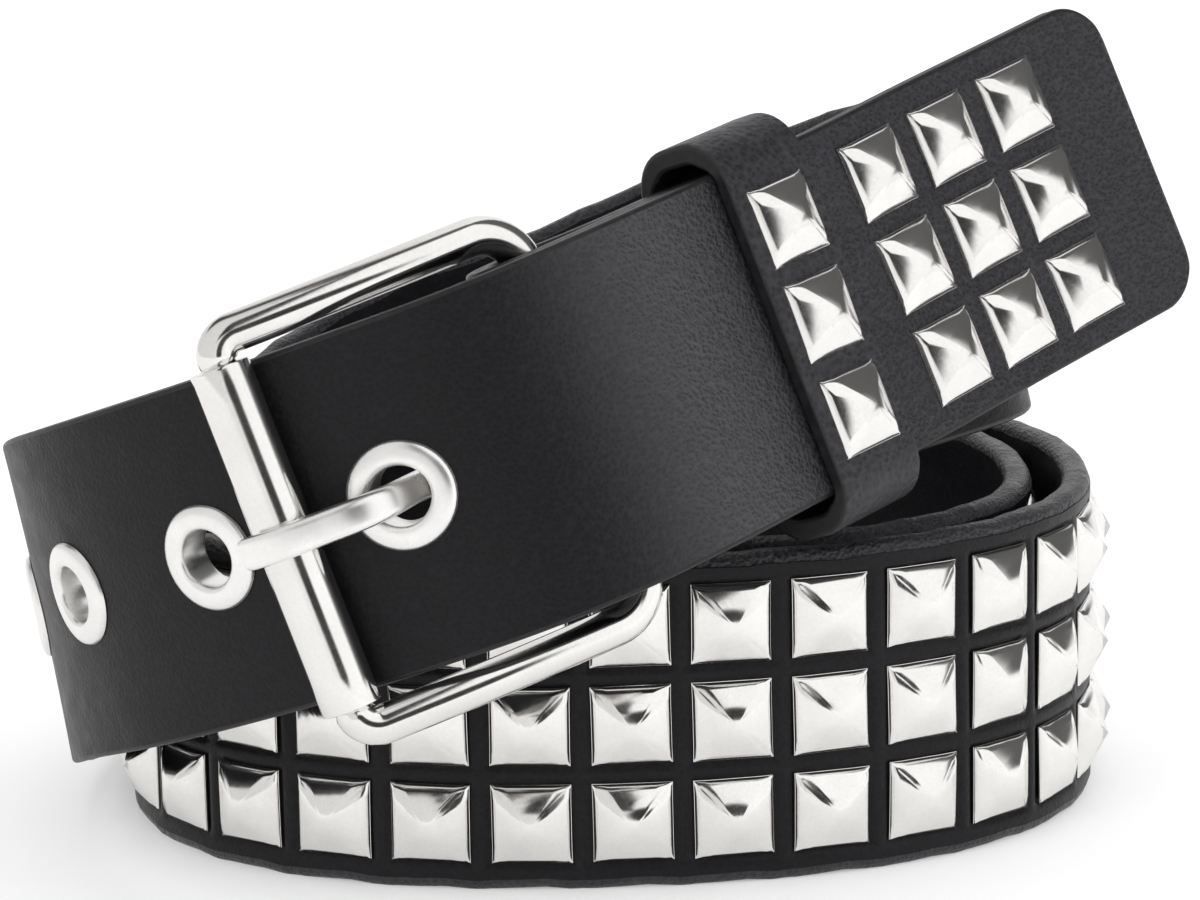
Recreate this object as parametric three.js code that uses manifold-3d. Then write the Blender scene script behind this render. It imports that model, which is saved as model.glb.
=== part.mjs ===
// Pyramid-stud belt, fastened and wound in three turns that stand on their lower edge.
// Millimetres, +Z up, X to the right, the buckle on the -Y side.
import * as THREE from "three";
import { mergeVertices } from "three/addons/utils/BufferGeometryUtils.js";
import Module from "manifold-3d";

// The leather band
const bandWidth = 38;
const bandThick = 3;
const bandEdgeRound = 0.7; // chamfer that breaks the band's long edges
const clearance = 0.35; // air between pieces that touch on the real belt

// The wound turns: half sizes of the outer turn's middle line, seen from above
const ringWide = 56.2;
const ringDeep = 47;
const ringSquareness = 2.3; // 2 would be an ellipse, more is fuller at the corners
const ringTwist = 3; // degrees that the oval is turned by

// Spacing of the cross sections that the band bends at
const plainStep = 6;
const foldStep = 2.1;
const tipStep = 5.5;

// Pyramid studs
const studSize = 9;
const studGap = 2.25;
const studHeight = 3; // apex above the leather
const studSkirt = 0.4; // upright rim of a single stud
const studRows = 3;
const studColumns = 61;
const studBacking = 0.35; // thin face skin that carries the studs of the long field
const fieldStart = 93.7; // from the heel bar, along the band, to the first column
const tipStudPitch = 12;
const tipStudRun = 72.5; // first column of tip studs, beyond the prong's hole

// Eyelets
const eyeletCount = 6;
const eyeletSpacing = 25;
const eyeletBore = 6.6;
const eyeletOuter = 12.1;
const eyeletBarrel = 0.6; // wall of the barrel inside the leather
const eyeletLip = 0.9; // height of the front rim above the leather
const eyeletBack = 0.7;
const eyeletSeat = 0.5; // its flanges bridge the curved leather
const eyeletRoll = 0.7; // width of the rolled rim's crest
const eyeletFall = 0.9; // width of the rim's outer slope

// Buckle
const frameReach = 35.4; // roller axis to heel bar axis
const frameInside = 40.8; // clear width between the side bars
const frameBar = 4.4; // diameter of the frame's bar
const frameHeelCorner = 5; // corner radii on the bar's middle line
const frameRollerCorner = 2.7;
const frameArch = 1.4; // the side bars bow out by this much
const rollerOuter = 6.7;
const rollerBore = 4.1;
const rollerAxle = 3.5;
const rollerLip = 0.3; // chamfer at the roller's ends
const rollerRun = -12.1; // where the roller crosses the band, from the prong's hole
const prongWide = 3.3;
const prongThick = 2.8;
const prongTipThick = 1.8;
const prongEyeWall = 2.1;
const prongSlotWide = 5.2;

// The fold round the heel bar, and the loop that holds the tip
const flapEnd = 66; // the folded end stops this far beyond the prong's hole
const flapCloseIn = 14; // the folded end draws in behind the band over this length
const foldSlack = 0.55; // the fold stands this much off the heel bar
const tipLength = 113.5; // free end beyond the prong's hole
const tipCorner = 6;
const keeperRun = 47.5; // near edge of the loop, beyond the prong's hole
const keeperWide = 13;
const keeperWall = 1.8;
const keeperRoom = 2.4; // air between the band's edges and the loop
const keeperCorner = 5;

const turnPitch = bandThick + studHeight + 3 * clearance; // from one turn to the next
const studPitch = studSize + studGap;
const leatherBlack = { color: 0x262629, roughness: 0.5, metalness: 0 };
const nickel = { color: 0xd9d6d2, roughness: 0.18, metalness: 1 };

// Middle line of the wound turns, a row at each change. turn: degrees, anticlockwise from the
// front. out: distance outside the oval, in turn pitches. lift: lower edge above the ground, in
// band widths. slant and recline: how the band's width leans to the right and to the back.
const turnRows = [
  { turn: 75, out: -1.42, lift: 1.22, slant: -0.22, recline: 0.07 },
  { turn: 105, out: -1.87, lift: 1.16, slant: -0.1, recline: 0.03 },
  { turn: 135, out: -2.0, lift: 0.99, slant: -0.03, recline: 0 },
  { turn: 180, out: -1.77, lift: 0.67, slant: 0, recline: 0 },
  { turn: 225, out: -1.58, lift: 0.34, slant: 0, recline: 0 },
  { turn: 270, out: -1.44, lift: 0.1, slant: 0, recline: 0 },
  { turn: 315, out: -1.2, lift: 0.01, slant: 0, recline: 0 },
  { turn: 360, out: -1, lift: 0, slant: 0, recline: 0 },
  { turn: 450, out: -1, lift: 0, slant: 0, recline: 0 },
  { turn: 540, out: -0.75, lift: 0, slant: 0, recline: 0 },
  { turn: 585, out: -0.33, lift: 0, slant: 0, recline: 0 },
  { turn: 630, out: -0.05, lift: 0, slant: 0, recline: 0 },
  { turn: 675, out: 0, lift: 0, slant: 0, recline: 0 },
  { turn: 720, out: 0, lift: 0, slant: 0, recline: 0 },
  { turn: 810, out: 0, lift: 0, slant: 0, recline: 0 },
  { turn: 855, out: 0.1, lift: 0, slant: 0, recline: 0 },
  { turn: 900, out: 0.36, lift: 0.005, slant: 0, recline: 0 },
  { turn: 930, out: 0.78, lift: 0.03, slant: -0.02, recline: 0 },
  { turn: 960, out: 1.28, lift: 0.08, slant: -0.08, recline: 0.02 },
];
const rowStep = 15; // degrees between the points taken from those rows
const layerStep = 5; // between the points of the layers behind the front strap
const layerPast = 3; // the layer under the front strap follows it this far past the loop
const sampleStep = 0.5; // between the places that a route keeps

// The third turn rises across the front. side and deep: place of the middle line in shares of
// ringWide and ringDeep. rise: its height in band widths. prong: the row by the prong's hole.
const frontRows = [
  { side: -1.164, deep: 0.01, rise: 0.612, slant: -0.13, recline: 0.04 },
  { side: -1.167, deep: -0.287, rise: 0.685, slant: -0.17, recline: 0.06 },
  { side: -1.125, deep: -0.596, rise: 0.795, slant: -0.22, recline: 0.08 },
  { side: -1.011, deep: -0.889, rise: 0.911, slant: -0.28, recline: 0.1 },
  { side: -0.836, deep: -1.119, rise: 1.037, slant: -0.33, recline: 0.107 },
  { side: -0.632, deep: -1.289, rise: 1.166, slant: -0.36, recline: 0.107 },
  { side: -0.404, deep: -1.4, rise: 1.3, slant: -0.366, recline: 0.107, prong: true },
  { side: -0.196, deep: -1.421, rise: 1.411, slant: -0.366, recline: 0.107 },
  { side: 0.011, deep: -1.338, rise: 1.516, slant: -0.366, recline: 0.107 },
  { side: 0.19, deep: -1.166, rise: 1.595, slant: -0.366, recline: 0.107 },
  { side: 0.359, deep: -0.962, rise: 1.661, slant: -0.366, recline: 0.107 },
  { side: 0.53, deep: -0.749, rise: 1.726, slant: -0.36, recline: 0.107 },
  { side: 0.701, deep: -0.54, rise: 1.807, slant: -0.35, recline: 0.105 },
  { side: 0.936, deep: -0.272, rise: 1.918, slant: -0.34, recline: 0.1 },
  { side: 1.189, deep: -0.013, rise: 2.043, slant: -0.33, recline: 0.1 },
];
const prongRow = frontRows.findIndex((row) => row.prong);
const prongPast = 1.1; // the prong's hole lies this far past its row

const radians = THREE.MathUtils.degToRad;

// Natural cubic through values at rising stations, one function for each column.
function smooth(stations, columns) {
  const last = stations.length - 1;
  const bends = columns.map((values) => {
    const slope = new Array(last + 1).fill(0);
    const carry = new Array(last + 1).fill(0);
    for (let i = 1; i < last; i++) {
      const before = stations[i] - stations[i - 1];
      const after = stations[i + 1] - stations[i];
      const pull = (values[i + 1] - values[i]) / after - (values[i] - values[i - 1]) / before;
      const weight = 2 * (before + after) - before * carry[i - 1];
      carry[i] = after / weight;
      slope[i] = (6 * pull - before * slope[i - 1]) / weight;
    }
    const bend = new Array(last + 1).fill(0);
    for (let i = last - 1; i > 0; i--) bend[i] = slope[i] - carry[i] * bend[i + 1];
    return bend;
  });
  return (station) => {
    let i = 0;
    while (i < last - 1 && stations[i + 1] < station) i++;
    const span = stations[i + 1] - stations[i];
    const b = (station - stations[i]) / span;
    const a = 1 - b;
    return columns.map(
      (values, k) =>
        a * values[i] + b * values[i + 1] +
        (((a ** 3 - a) * bends[k][i] + (b ** 3 - b) * bends[k][i + 1]) * span ** 2) / 6,
    );
  };
}

// Radius of the oval that the outer turn follows.
function ovalRadius(turn) {
  const angle = radians(turn) - radians(ringTwist);
  const side = Math.abs(Math.sin(angle)) / ringWide;
  const deep = Math.abs(Math.cos(angle)) / ringDeep;
  return (side ** ringSquareness + deep ** ringSquareness) ** (-1 / ringSquareness);
}

// A route carries places and the direction of the band's width. Its frame gives, at a run along
// the middle line, the place, the way along, the width direction and the outward direction.
class Route {
  constructor(points, widths) {
    const stations = [0];
    for (let i = 1; i < points.length; i++)
      stations.push(stations[i - 1] + points[i].distanceTo(points[i - 1]));
    const columns = [points, widths].flatMap((list) =>
      ["x", "y", "z"].map((k) => list.map((v) => v[k])));
    const at = smooth(stations, columns);
    const fine = Math.round(stations.at(-1) / sampleStep);
    this.samples = [];
    for (let i = 0; i <= fine; i++) {
      const v = at((stations.at(-1) * i) / fine);
      this.samples.push({
        place: new THREE.Vector3(v[0], v[1], v[2]),
        width: new THREE.Vector3(v[3], v[4], v[5]),
        run: 0,
      });
    }
    for (let i = 1; i <= fine; i++) {
      const [a, b] = [this.samples[i - 1], this.samples[i]];
      b.run = a.run + b.place.distanceTo(a.place);
    }
    this.length = this.samples.at(-1).run;
  }

  frame(run) {
    const all = this.samples;
    let low = 0;
    let high = all.length - 1;
    while (high - low > 1) {
      const middle = (low + high) >> 1;
      if (all[middle].run <= run) low = middle;
      else high = middle;
    }
    const share = (run - all[low].run) / (all[high].run - all[low].run);
    const place = all[low].place.clone().lerp(all[high].place, share);
    const before = all[Math.max(low - 1, 0)].place;
    const after = all[Math.min(high + 1, all.length - 1)].place;
    const along = after.clone().sub(before).normalize();
    const width = all[low].width.clone().lerp(all[high].width, share);
    width.addScaledVector(along, -width.dot(along)).normalize();
    const out = along.clone().cross(width).normalize();
    return { place, along, width, out };
  }

  point(run, across, out) {
    const f = this.frame(run);
    return f.place.addScaledVector(f.width, across).addScaledVector(f.out, out);
  }

  nearest(target) {
    return this.samples.reduce((best, s) =>
      s.place.distanceTo(target) < best.place.distanceTo(target) ? s : best).run;
  }
}

const widthOf = (row) => new THREE.Vector3(row[0], row[1], 1).normalize();

// Points and widths of the wound turns and the rising front, in order.
function woundPoints() {
  const at = smooth(
    turnRows.map((r) => r.turn),
    ["out", "lift", "slant", "recline"].map((k) => turnRows.map((r) => r[k])),
  );
  const points = [];
  const widths = [];
  for (let turn = turnRows[0].turn; turn <= turnRows.at(-1).turn; turn += rowStep) {
    const [out, lift, slant, recline] = at(turn);
    const reach = ovalRadius(turn) + out * turnPitch;
    points.push(new THREE.Vector3(
      reach * Math.sin(radians(turn)),
      -reach * Math.cos(radians(turn)),
      Math.max(lift, 0) * bandWidth + bandWidth / 2,
    ));
    widths.push(widthOf([slant, recline]));
  }
  for (const row of frontRows) {
    points.push(new THREE.Vector3(
      row.side * ringWide, row.deep * ringDeep, row.rise * bandWidth));
    widths.push(widthOf([row.slant, row.recline]));
  }
  return { points, widths };
}

const wound = woundPoints();
const woundRoute = new Route(wound.points, wound.widths);
const woundProng =
  woundRoute.nearest(wound.points[wound.points.length - frontRows.length + prongRow]) + prongPast;

// Depths below the front strap's middle line, through the layers behind it.
const underLayer = -(bandThick + clearance);
const foldRadius = bandThick / 2 + clearance + foldSlack + frameBar / 2;
const heelDepth = underLayer - foldRadius;
const eyeInner = frameBar / 2 + clearance; // the prong's ring round the heel bar
const eyeOuter = eyeInner + prongEyeWall;
const flapDepth = 2 * underLayer;
const rollerDepth = bandThick / 2 + clearance + rollerOuter / 2;

// The heel bar lies where the frame's reach, from the roller, ends.
function findHeelRun() {
  const roller = woundRoute.point(woundProng + rollerRun, 0, rollerDepth);
  let run = rollerRun + frameReach / 2;
  while (woundRoute.point(woundProng + run, 0, heelDepth).distanceTo(roller) < frameReach)
    run += 0.05;
  return run;
}
const heelRun = findHeelRun();

// The whole band: folded end, round the heel bar, under the front strap, round the turns and
// across the front to the tip.
function wholeRoute() {
  const points = [];
  const widths = [];
  const add = (run, out) => {
    points.push(woundRoute.point(woundProng + run, 0, out));
    widths.push(woundRoute.frame(woundProng + run).width);
  };
  for (let run = flapEnd; run > heelRun + layerStep / 5; run -= layerStep) {
    const share = THREE.MathUtils.smoothstep(heelRun + flapCloseIn - run, 0, flapCloseIn);
    add(run, flapDepth + share * (heelDepth - foldRadius - flapDepth));
  }
  const heel = woundRoute.frame(woundProng + heelRun);
  const centre = woundRoute.point(woundProng + heelRun, 0, heelDepth);
  for (let turn = 0; turn <= 180; turn += 30) {
    const point = centre.clone()
      .addScaledVector(heel.out, -foldRadius * Math.cos(radians(turn)))
      .addScaledVector(heel.along, -foldRadius * Math.sin(radians(turn)));
    points.push(point);
    widths.push(heel.width);
  }
  const lastUnder = keeperRun + keeperWide + layerPast;
  for (let run = heelRun + 0.8 * layerStep; run < lastUnder; run += layerStep)
    add(run, underLayer);
  points.push(...wound.points);
  widths.push(...wound.widths);
  return new Route(points, widths);
}
const route = wholeRoute();
const prongHole =
  route.nearest(wound.points[wound.points.length - frontRows.length + prongRow]) + prongPast;
const heelOnRoute = route.nearest(
  woundRoute.point(woundProng + heelRun, 0, heelDepth)
    .addScaledVector(woundRoute.frame(woundProng + heelRun).along, -foldRadius));
const bandEnd = prongHole + tipLength;

// Booleans
const wasm = await Module();
wasm.setup();

function toSolid(geometry) {
  const bare = geometry.index ? geometry.toNonIndexed() : geometry.clone();
  const only = new THREE.BufferGeometry().setAttribute("position", bare.getAttribute("position"));
  const merged = mergeVertices(only, 1e-3);
  return new wasm.Manifold(new wasm.Mesh({
    numProp: 3,
    vertProperties: new Float32Array(merged.attributes.position.array),
    triVerts: new Uint32Array(merged.index.array),
  }));
}

function toGeometry(solid) {
  const mesh = solid.getMesh();
  const geometry = new THREE.BufferGeometry();
  geometry.setAttribute("position", new THREE.BufferAttribute(mesh.vertProperties, 3));
  geometry.setIndex(new THREE.BufferAttribute(mesh.triVerts, 1));
  geometry.computeVertexNormals();
  return geometry;
}

// Moves every vertex of a straight geometry by a function of its old place.
function reshape(geometry, move) {
  const position = geometry.getAttribute("position");
  const from = new THREE.Vector3();
  for (let i = 0; i < position.count; i++) {
    from.fromBufferAttribute(position, i);
    const to = move(from);
    position.setXYZ(i, to.x, to.y, to.z);
  }
  geometry.computeVertexNormals();
  return geometry;
}

// A section drawn as width against outward, drawn along the band through the given runs.
function sweep(section, runs, move) {
  const depth = runs.length - 1;
  const straight = new THREE.ExtrudeGeometry(section, {
    depth, steps: depth, bevelEnabled: false, curveSegments: 3,
  });
  return reshape(straight, (p) => move(p, runs[Math.round(p.z)]));
}

function chamferedBar(wide, thick, chamfer) {
  const [w, t] = [wide / 2, thick / 2];
  return new THREE.Shape([
    [w - chamfer, -t], [w, chamfer - t], [w, t - chamfer], [w - chamfer, t],
    [chamfer - w, t], [-w, t - chamfer], [-w, chamfer - t], [chamfer - w, -t],
  ].map(([x, y]) => new THREE.Vector2(x, y)));
}

// Runs where the long field's studs begin and end, so that band and field bend together.
const fieldRuns = [];
for (let column = 0; column < studColumns; column++) {
  const start = heelOnRoute + fieldStart + column * studPitch;
  fieldRuns.push(start, start + studSize);
}

function evenRuns(from, to, step) {
  const count = Math.max(1, Math.ceil((to - from) / step));
  return Array.from({ length: count + 1 }, (_, i) => from + ((to - from) * i) / count);
}

const [foldStart, foldEnd] = [heelOnRoute - 3 * foldRadius, heelOnRoute + 3 * foldRadius];
const bandRuns = [
  ...evenRuns(0, foldStart, plainStep).slice(0, -1),
  ...evenRuns(foldStart, foldEnd, foldStep).slice(0, -1),
  ...evenRuns(foldEnd, fieldRuns[0], plainStep).slice(0, -1),
  ...fieldRuns,
  ...evenRuns(fieldRuns.at(-1), bandEnd - tipCorner, tipStep).slice(1),
  ...[30, 55, 75, 90].map((a) => bandEnd - tipCorner + tipCorner * Math.sin(radians(a))),
];

// Half width of the band, which rounds in at the tip's corners.
function halfAt(run) {
  const into = Math.max(0, run - (bandEnd - tipCorner));
  return bandWidth / 2 - tipCorner + Math.sqrt(Math.max(0, tipCorner ** 2 - into ** 2));
}

const eyeletRuns = Array.from({ length: eyeletCount }, (_, i) => prongHole - i * eyeletSpacing);

function strap() {
  const section = chamferedBar(bandWidth, bandThick, bandEdgeRound);
  let band = toSolid(sweep(section, bandRuns, (p, run) =>
    route.point(run, p.x * (halfAt(run) / (bandWidth / 2)), p.y)));
  const holeRadius = eyeletBore / 2 + eyeletBarrel + clearance;
  for (const run of eyeletRuns) {
    const drill = new THREE.CylinderGeometry(holeRadius, holeRadius, 3 * bandThick, 20);
    band = band.subtract(toSolid(reshape(drill, (p) => route.point(run + p.x, -p.z, p.y))));
  }
  const slotLong = Math.PI * foldRadius + 3 * eyeOuter;
  const slot = new THREE.BoxGeometry(slotLong, prongSlotWide, 1.6 * bandThick, 14, 1, 1);
  band = band.subtract(toSolid(reshape(slot, (p) =>
    route.point(heelOnRoute + p.x, p.y, p.z))));
  return toGeometry(band);
}

// One stud: a four-sided pyramid on a thin skirt, with its base in the XY plane.
function pyramid(height, skirt) {
  const corner = studSize / Math.SQRT2;
  const profile = [[0, 0], [corner, 0], [corner, skirt], [0, height]];
  const turned = new THREE.LatheGeometry(
    profile.map(([x, y]) => new THREE.Vector2(x, y)), 4, Math.PI / 4);
  return turned.rotateX(Math.PI / 2);
}

// Turns a piece's own axes onto a frame of the band and seats it there.
function seat(geometry, frame, origin) {
  const matrix = new THREE.Matrix4().makeBasis(frame.along, frame.width, frame.out);
  matrix.setPosition(origin);
  return geometry.applyMatrix4(matrix);
}

const rowOffsets = Array.from({ length: studRows }, (_, i) => (i - (studRows - 1) / 2) * studPitch);

function studField() {
  const base = bandThick / 2 + clearance;
  const face = base + studBacking;
  const apex = bandThick / 2 + studHeight;
  const edges = rowOffsets.flatMap((across) => [across - studSize / 2, across + studSize / 2]);
  const corners = [];
  const triangles = [];
  const put = (point) => corners.push(...point.toArray()) / 3 - 1;
  const quad = (a, b, c, d) => triangles.push(a, b, c, a, c, d);
  const top = fieldRuns.map((run) => edges.map((across) => put(route.point(run, across, face))));
  const under = fieldRuns.map((run) =>
    [edges[0], edges.at(-1)].map((across) => put(route.point(run, across, base))));
  for (let i = 0; i < fieldRuns.length - 1; i++) {
    const [near, far] = [top[i], top[i + 1]];
    for (let k = 0; k < edges.length - 1; k++) {
      const cell = [near[k], far[k], far[k + 1], near[k + 1]];
      if (i % 2 || k % 2) {
        quad(...cell);
        continue;
      }
      const middle = (fieldRuns[i] + fieldRuns[i + 1]) / 2;
      const peak = put(route.point(middle, rowOffsets[k / 2], apex));
      cell.forEach((corner, j) => triangles.push(corner, cell[(j + 1) % 4], peak));
    }
    quad(under[i][0], under[i][1], under[i + 1][1], under[i + 1][0]);
    quad(under[i][0], under[i + 1][0], far[0], near[0]);
    quad(near.at(-1), far.at(-1), under[i + 1][1], under[i][1]);
  }
  for (const [row, [low, high], first] of [
    [top[0], under[0], true], [top.at(-1), under.at(-1), false]])
    [...row, high].slice(0, -1).forEach((corner, j) => {
      const next = [...row, high][j + 1];
      triangles.push(...(first ? [low, corner, next] : [low, next, corner]));
    });
  const skin = new THREE.BufferGeometry();
  skin.setAttribute("position", new THREE.Float32BufferAttribute(corners, 3));
  skin.setIndex(triangles);
  skin.computeVertexNormals();
  return skin;
}

function singleStud(run, across, out) {
  const frame = route.frame(run);
  return seat(pyramid(studHeight - clearance, studSkirt), frame, route.point(run, across, out));
}

function eyelet(run) {
  const bore = eyeletBore / 2;
  const rim = eyeletOuter / 2;
  const barrel = bore + eyeletBarrel;
  const face = bandThick / 2 + eyeletSeat;
  const profile = [
    [bore, -face - eyeletBack * 0.4], [bore, face + eyeletLip * 0.5],
    [bore + eyeletRoll, face + eyeletLip], [rim - eyeletFall, face + eyeletLip * 0.75],
    [rim, face], [barrel, face], [barrel, -face], [rim - eyeletBarrel, -face],
    [bore + eyeletBarrel, -face - eyeletBack],
    [bore, -face - eyeletBack * 0.4],
  ];
  const turned = new THREE.LatheGeometry(
    profile.map(([x, y]) => new THREE.Vector2(x, y)).reverse(), 18);
  return reshape(turned, (p) => route.point(run + p.x, -p.z, p.y));
}

// The buckle lies in a plane of its own, from the roller in front of the band to the heel bar
// behind it: along from roller to heel, width across the band, out towards the viewer.
function buckleFrame() {
  const roller = route.point(prongHole + rollerRun, 0, rollerDepth);
  const heel = woundRoute.point(woundProng + heelRun, 0, heelDepth);
  const along = heel.clone().sub(roller).normalize();
  const width = route.frame(prongHole + (rollerRun + heelRun) / 2).width;
  width.addScaledVector(along, -width.dot(along)).normalize();
  return { roller, heel, along, width, out: along.clone().cross(width) };
}
const buckle = buckleFrame();
const onBuckle = (along, across, out) => buckle.roller.clone()
  .addScaledVector(buckle.along, along)
  .addScaledVector(buckle.width, across)
  .addScaledVector(buckle.out, out);

// Middle line of the frame's bar as a closed path of straights and corner arcs.
function barPath() {
  const half = (frameInside + frameBar) / 2;
  const path = new THREE.Path();
  const [heel, near] = [frameHeelCorner, frameRollerCorner];
  path.moveTo(0, 0);
  path.lineTo(0, half - near);
  path.absarc(near, half - near, near, Math.PI, Math.PI / 2, true);
  path.lineTo(frameReach - heel, half);
  path.absarc(frameReach - heel, half - heel, heel, Math.PI / 2, 0, true);
  path.lineTo(frameReach, heel - half);
  path.absarc(frameReach - heel, heel - half, heel, 0, -Math.PI / 2, true);
  path.lineTo(near, -half);
  path.absarc(near, near - half, near, -Math.PI / 2, -Math.PI, true);
  path.lineTo(0, 0);
  return path;
}

// Shares of the bar's path where its rings stand: close in the corners, wide on the straights.
function barShares(path) {
  const lengths = path.getCurveLengths();
  const shares = [];
  path.curves.forEach((curve, i) => {
    const start = i ? lengths[i - 1] : 0;
    const pieces = curve instanceof THREE.LineCurve ? 3 : 5;
    for (let k = 0; k < pieces; k++)
      shares.push((start + ((lengths[i] - start) * k) / pieces) / lengths.at(-1));
  });
  return shares;
}

function buckleBar() {
  const path = barPath();
  const shares = barShares(path);
  const sides = 10;
  const half = frameInside / 2;
  const ring = new THREE.TorusGeometry(2, 1, sides, shares.length);
  const steps = shares.length;
  return reshape(ring, (p) => {
    const around = Math.atan2(p.y, p.x);
    const step = Math.round((around / (2 * Math.PI)) * steps + steps) % steps;
    const share = shares[step];
    const middle = path.getPointAt(share);
    const tangent = path.getTangentAt(share);
    const side = new THREE.Vector2(tangent.y, -tangent.x);
    const onAxle = middle.x < frameRollerCorner && Math.abs(middle.y) < half + 0.3;
    const radius = (onAxle && middle.x < 0.2 * frameRollerCorner ? rollerAxle : frameBar) / 2;
    const inward = Math.hypot(p.x, p.y) - 2;
    const bow = frameArch * (1 - (2 * middle.x / frameReach - 1) ** 2);
    return onBuckle(
      middle.x - side.x * inward * radius, middle.y - side.y * inward * radius,
      bow - p.z * radius);
  });
}

function roller() {
  const [bore, outer] = [rollerBore / 2, rollerOuter / 2];
  const half = frameInside / 2 - 2 * clearance;
  const profile = [
    [bore, -half], [outer - rollerLip, -half], [outer, rollerLip - half],
    [outer, half - rollerLip], [outer - rollerLip, half], [bore, half], [bore, -half],
  ];
  const tube = new THREE.LatheGeometry(
    profile.map(([x, y]) => new THREE.Vector2(x, y)), 24);
  return reshape(tube, (p) => onBuckle(p.x, p.y, p.z));
}

// The prong: a ring round the heel bar and a shank that passes up through the hole and lies on
// the roller. run: from the prong's hole, in shares of the way to the roller or the heel bar;
// depth: in shares of the roller's or the heel bar's depth.
function prong() {
  const restDepth = rollerDepth + rollerOuter / 2 + 1.3 * clearance + prongTipThick / 2;
  const lipDepth = bandThick / 2 + eyeletSeat + eyeletLip;
  const shank = [
    { run: heelRun - eyeInner - prongEyeWall / 2, depth: heelDepth, thick: prongThick },
    { run: 0.55 * heelRun, depth: 0.97 * heelDepth, thick: prongThick },
    { run: 0.3 * heelRun, depth: 0.84 * heelDepth, thick: prongThick },
    { run: 0.14 * heelRun, depth: 0.62 * heelDepth, thick: prongThick },
    { run: 0.06 * heelRun, depth: 0.36 * heelDepth, thick: prongThick },
    { run: 0, depth: 0, thick: prongThick },
    { run: 0.08 * rollerRun, depth: 1.02 * lipDepth, thick: prongThick },
    { run: 0.19 * rollerRun, depth: 1.72 * lipDepth, thick: prongThick },
    { run: 0.36 * rollerRun, depth: 0.65 * restDepth, thick: prongThick },
    { run: 0.62 * rollerRun, depth: 0.79 * restDepth, thick: prongThick },
    { run: 0.84 * rollerRun, depth: 0.95 * restDepth, thick: 0.8 * prongThick },
    { run: rollerRun, depth: restDepth, thick: prongTipThick },
    { run: 1.2 * rollerRun, depth: 0.98 * restDepth, thick: prongTipThick },
  ];
  const places = shank.map((row) => route.point(prongHole + row.run, 0, row.depth));
  const line = new THREE.CatmullRomCurve3(places, false, "centripetal");
  const rings = 2 * (shank.length - 1);
  const oval = new THREE.Shape();
  oval.absellipse(0, 0, 0.5, 0.5, 0, 2 * Math.PI);
  const straight = new THREE.ExtrudeGeometry(oval, {
    depth: rings, steps: rings, bevelEnabled: false, curveSegments: 5,
  });
  const rod = reshape(straight, (p) => {
    const share = p.z / rings;
    const row = share * (shank.length - 1);
    const low = Math.min(Math.floor(row), shank.length - 2);
    const thick = THREE.MathUtils.lerp(shank[low].thick, shank[low + 1].thick, row - low);
    const up = line.getTangent(share).cross(buckle.width).normalize();
    return line.getPoint(share)
      .addScaledVector(buckle.width, p.x * prongWide)
      .addScaledVector(up, p.y * thick);
  });
  const half = prongWide / 2;
  const eye = new THREE.LatheGeometry([
    [eyeInner, -half], [eyeOuter, -half], [eyeOuter, half], [eyeInner, half], [eyeInner, -half],
  ].map(([x, y]) => new THREE.Vector2(x, y)), 20);
  const eyeSolid = toSolid(reshape(eye, (p) => buckle.heel.clone()
    .addScaledVector(buckle.along, p.x)
    .addScaledVector(buckle.width, p.y)
    .addScaledVector(buckle.out, p.z)));
  return toGeometry(eyeSolid.add(toSolid(rod)));
}

// A rectangle with round corners, as a path or a hole of a shape.
function roundedBox(path, left, right, low, high, radius) {
  path.moveTo(left + radius, low);
  path.lineTo(right - radius, low);
  path.absarc(right - radius, low + radius, radius, -Math.PI / 2, 0, false);
  path.lineTo(right, high - radius);
  path.absarc(right - radius, high - radius, radius, 0, Math.PI / 2, false);
  path.lineTo(left + radius, high);
  path.absarc(left + radius, high - radius, radius, Math.PI / 2, Math.PI, false);
  path.lineTo(left, low + radius);
  path.absarc(left + radius, low + radius, radius, Math.PI, 1.5 * Math.PI, false);
  return path;
}

const keeperFront = bandThick / 2 + clearance + keeperWall;

function keeper() {
  const half = bandWidth / 2 + keeperRoom + keeperWall;
  const back = flapDepth - bandThick / 2 - clearance - keeperWall;
  const section = roundedBox(
    new THREE.Shape(), -half, half, back, keeperFront, keeperCorner);
  section.holes.push(roundedBox(
    new THREE.Path(), keeperWall - half, half - keeperWall,
    back + keeperWall, keeperFront - keeperWall, keeperCorner - keeperWall));
  const start = prongHole + keeperRun;
  return sweep(section, evenRuns(start, start + keeperWide, 5),
    (p, run) => route.point(run, p.x, p.y));
}

// The finished belt
const belt = new THREE.Group();
function addPiece(name, geometry, finish) {
  const mesh = new THREE.Mesh(geometry, new THREE.MeshStandardMaterial(finish));
  mesh.name = name;
  belt.add(mesh);
}

addPiece("strap", strap(), leatherBlack);
addPiece("stud_field", studField(), nickel);
eyeletRuns.forEach((run, i) => addPiece(`eyelet_${i + 1}`, eyelet(run), nickel));
const onBand = bandThick / 2 + clearance;
for (let column = 0; column < 3; column++)
  rowOffsets.forEach((across, row) => addPiece(
    `tip_stud_${column + 1}${"abc"[row]}`,
    singleStud(prongHole + tipStudRun + column * tipStudPitch, across, onBand), nickel));
addPiece("keeper", keeper(), leatherBlack);
rowOffsets.forEach((across, row) => addPiece(
  `keeper_stud_${"abc"[row]}`,
  singleStud(prongHole + keeperRun + keeperWide / 2, across, keeperFront + clearance), nickel));
addPiece("buckle_frame", buckleBar(), nickel);
addPiece("roller", roller(), nickel);
addPiece("prong", prong(), nickel);

// The origin is under the middle of the whole belt, on the ground.
const bounds = new THREE.Box3().setFromObject(belt);
belt.position.set(
  -(bounds.min.x + bounds.max.x) / 2, -(bounds.min.y + bounds.max.y) / 2, -bounds.min.z);

export default belt;
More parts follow.
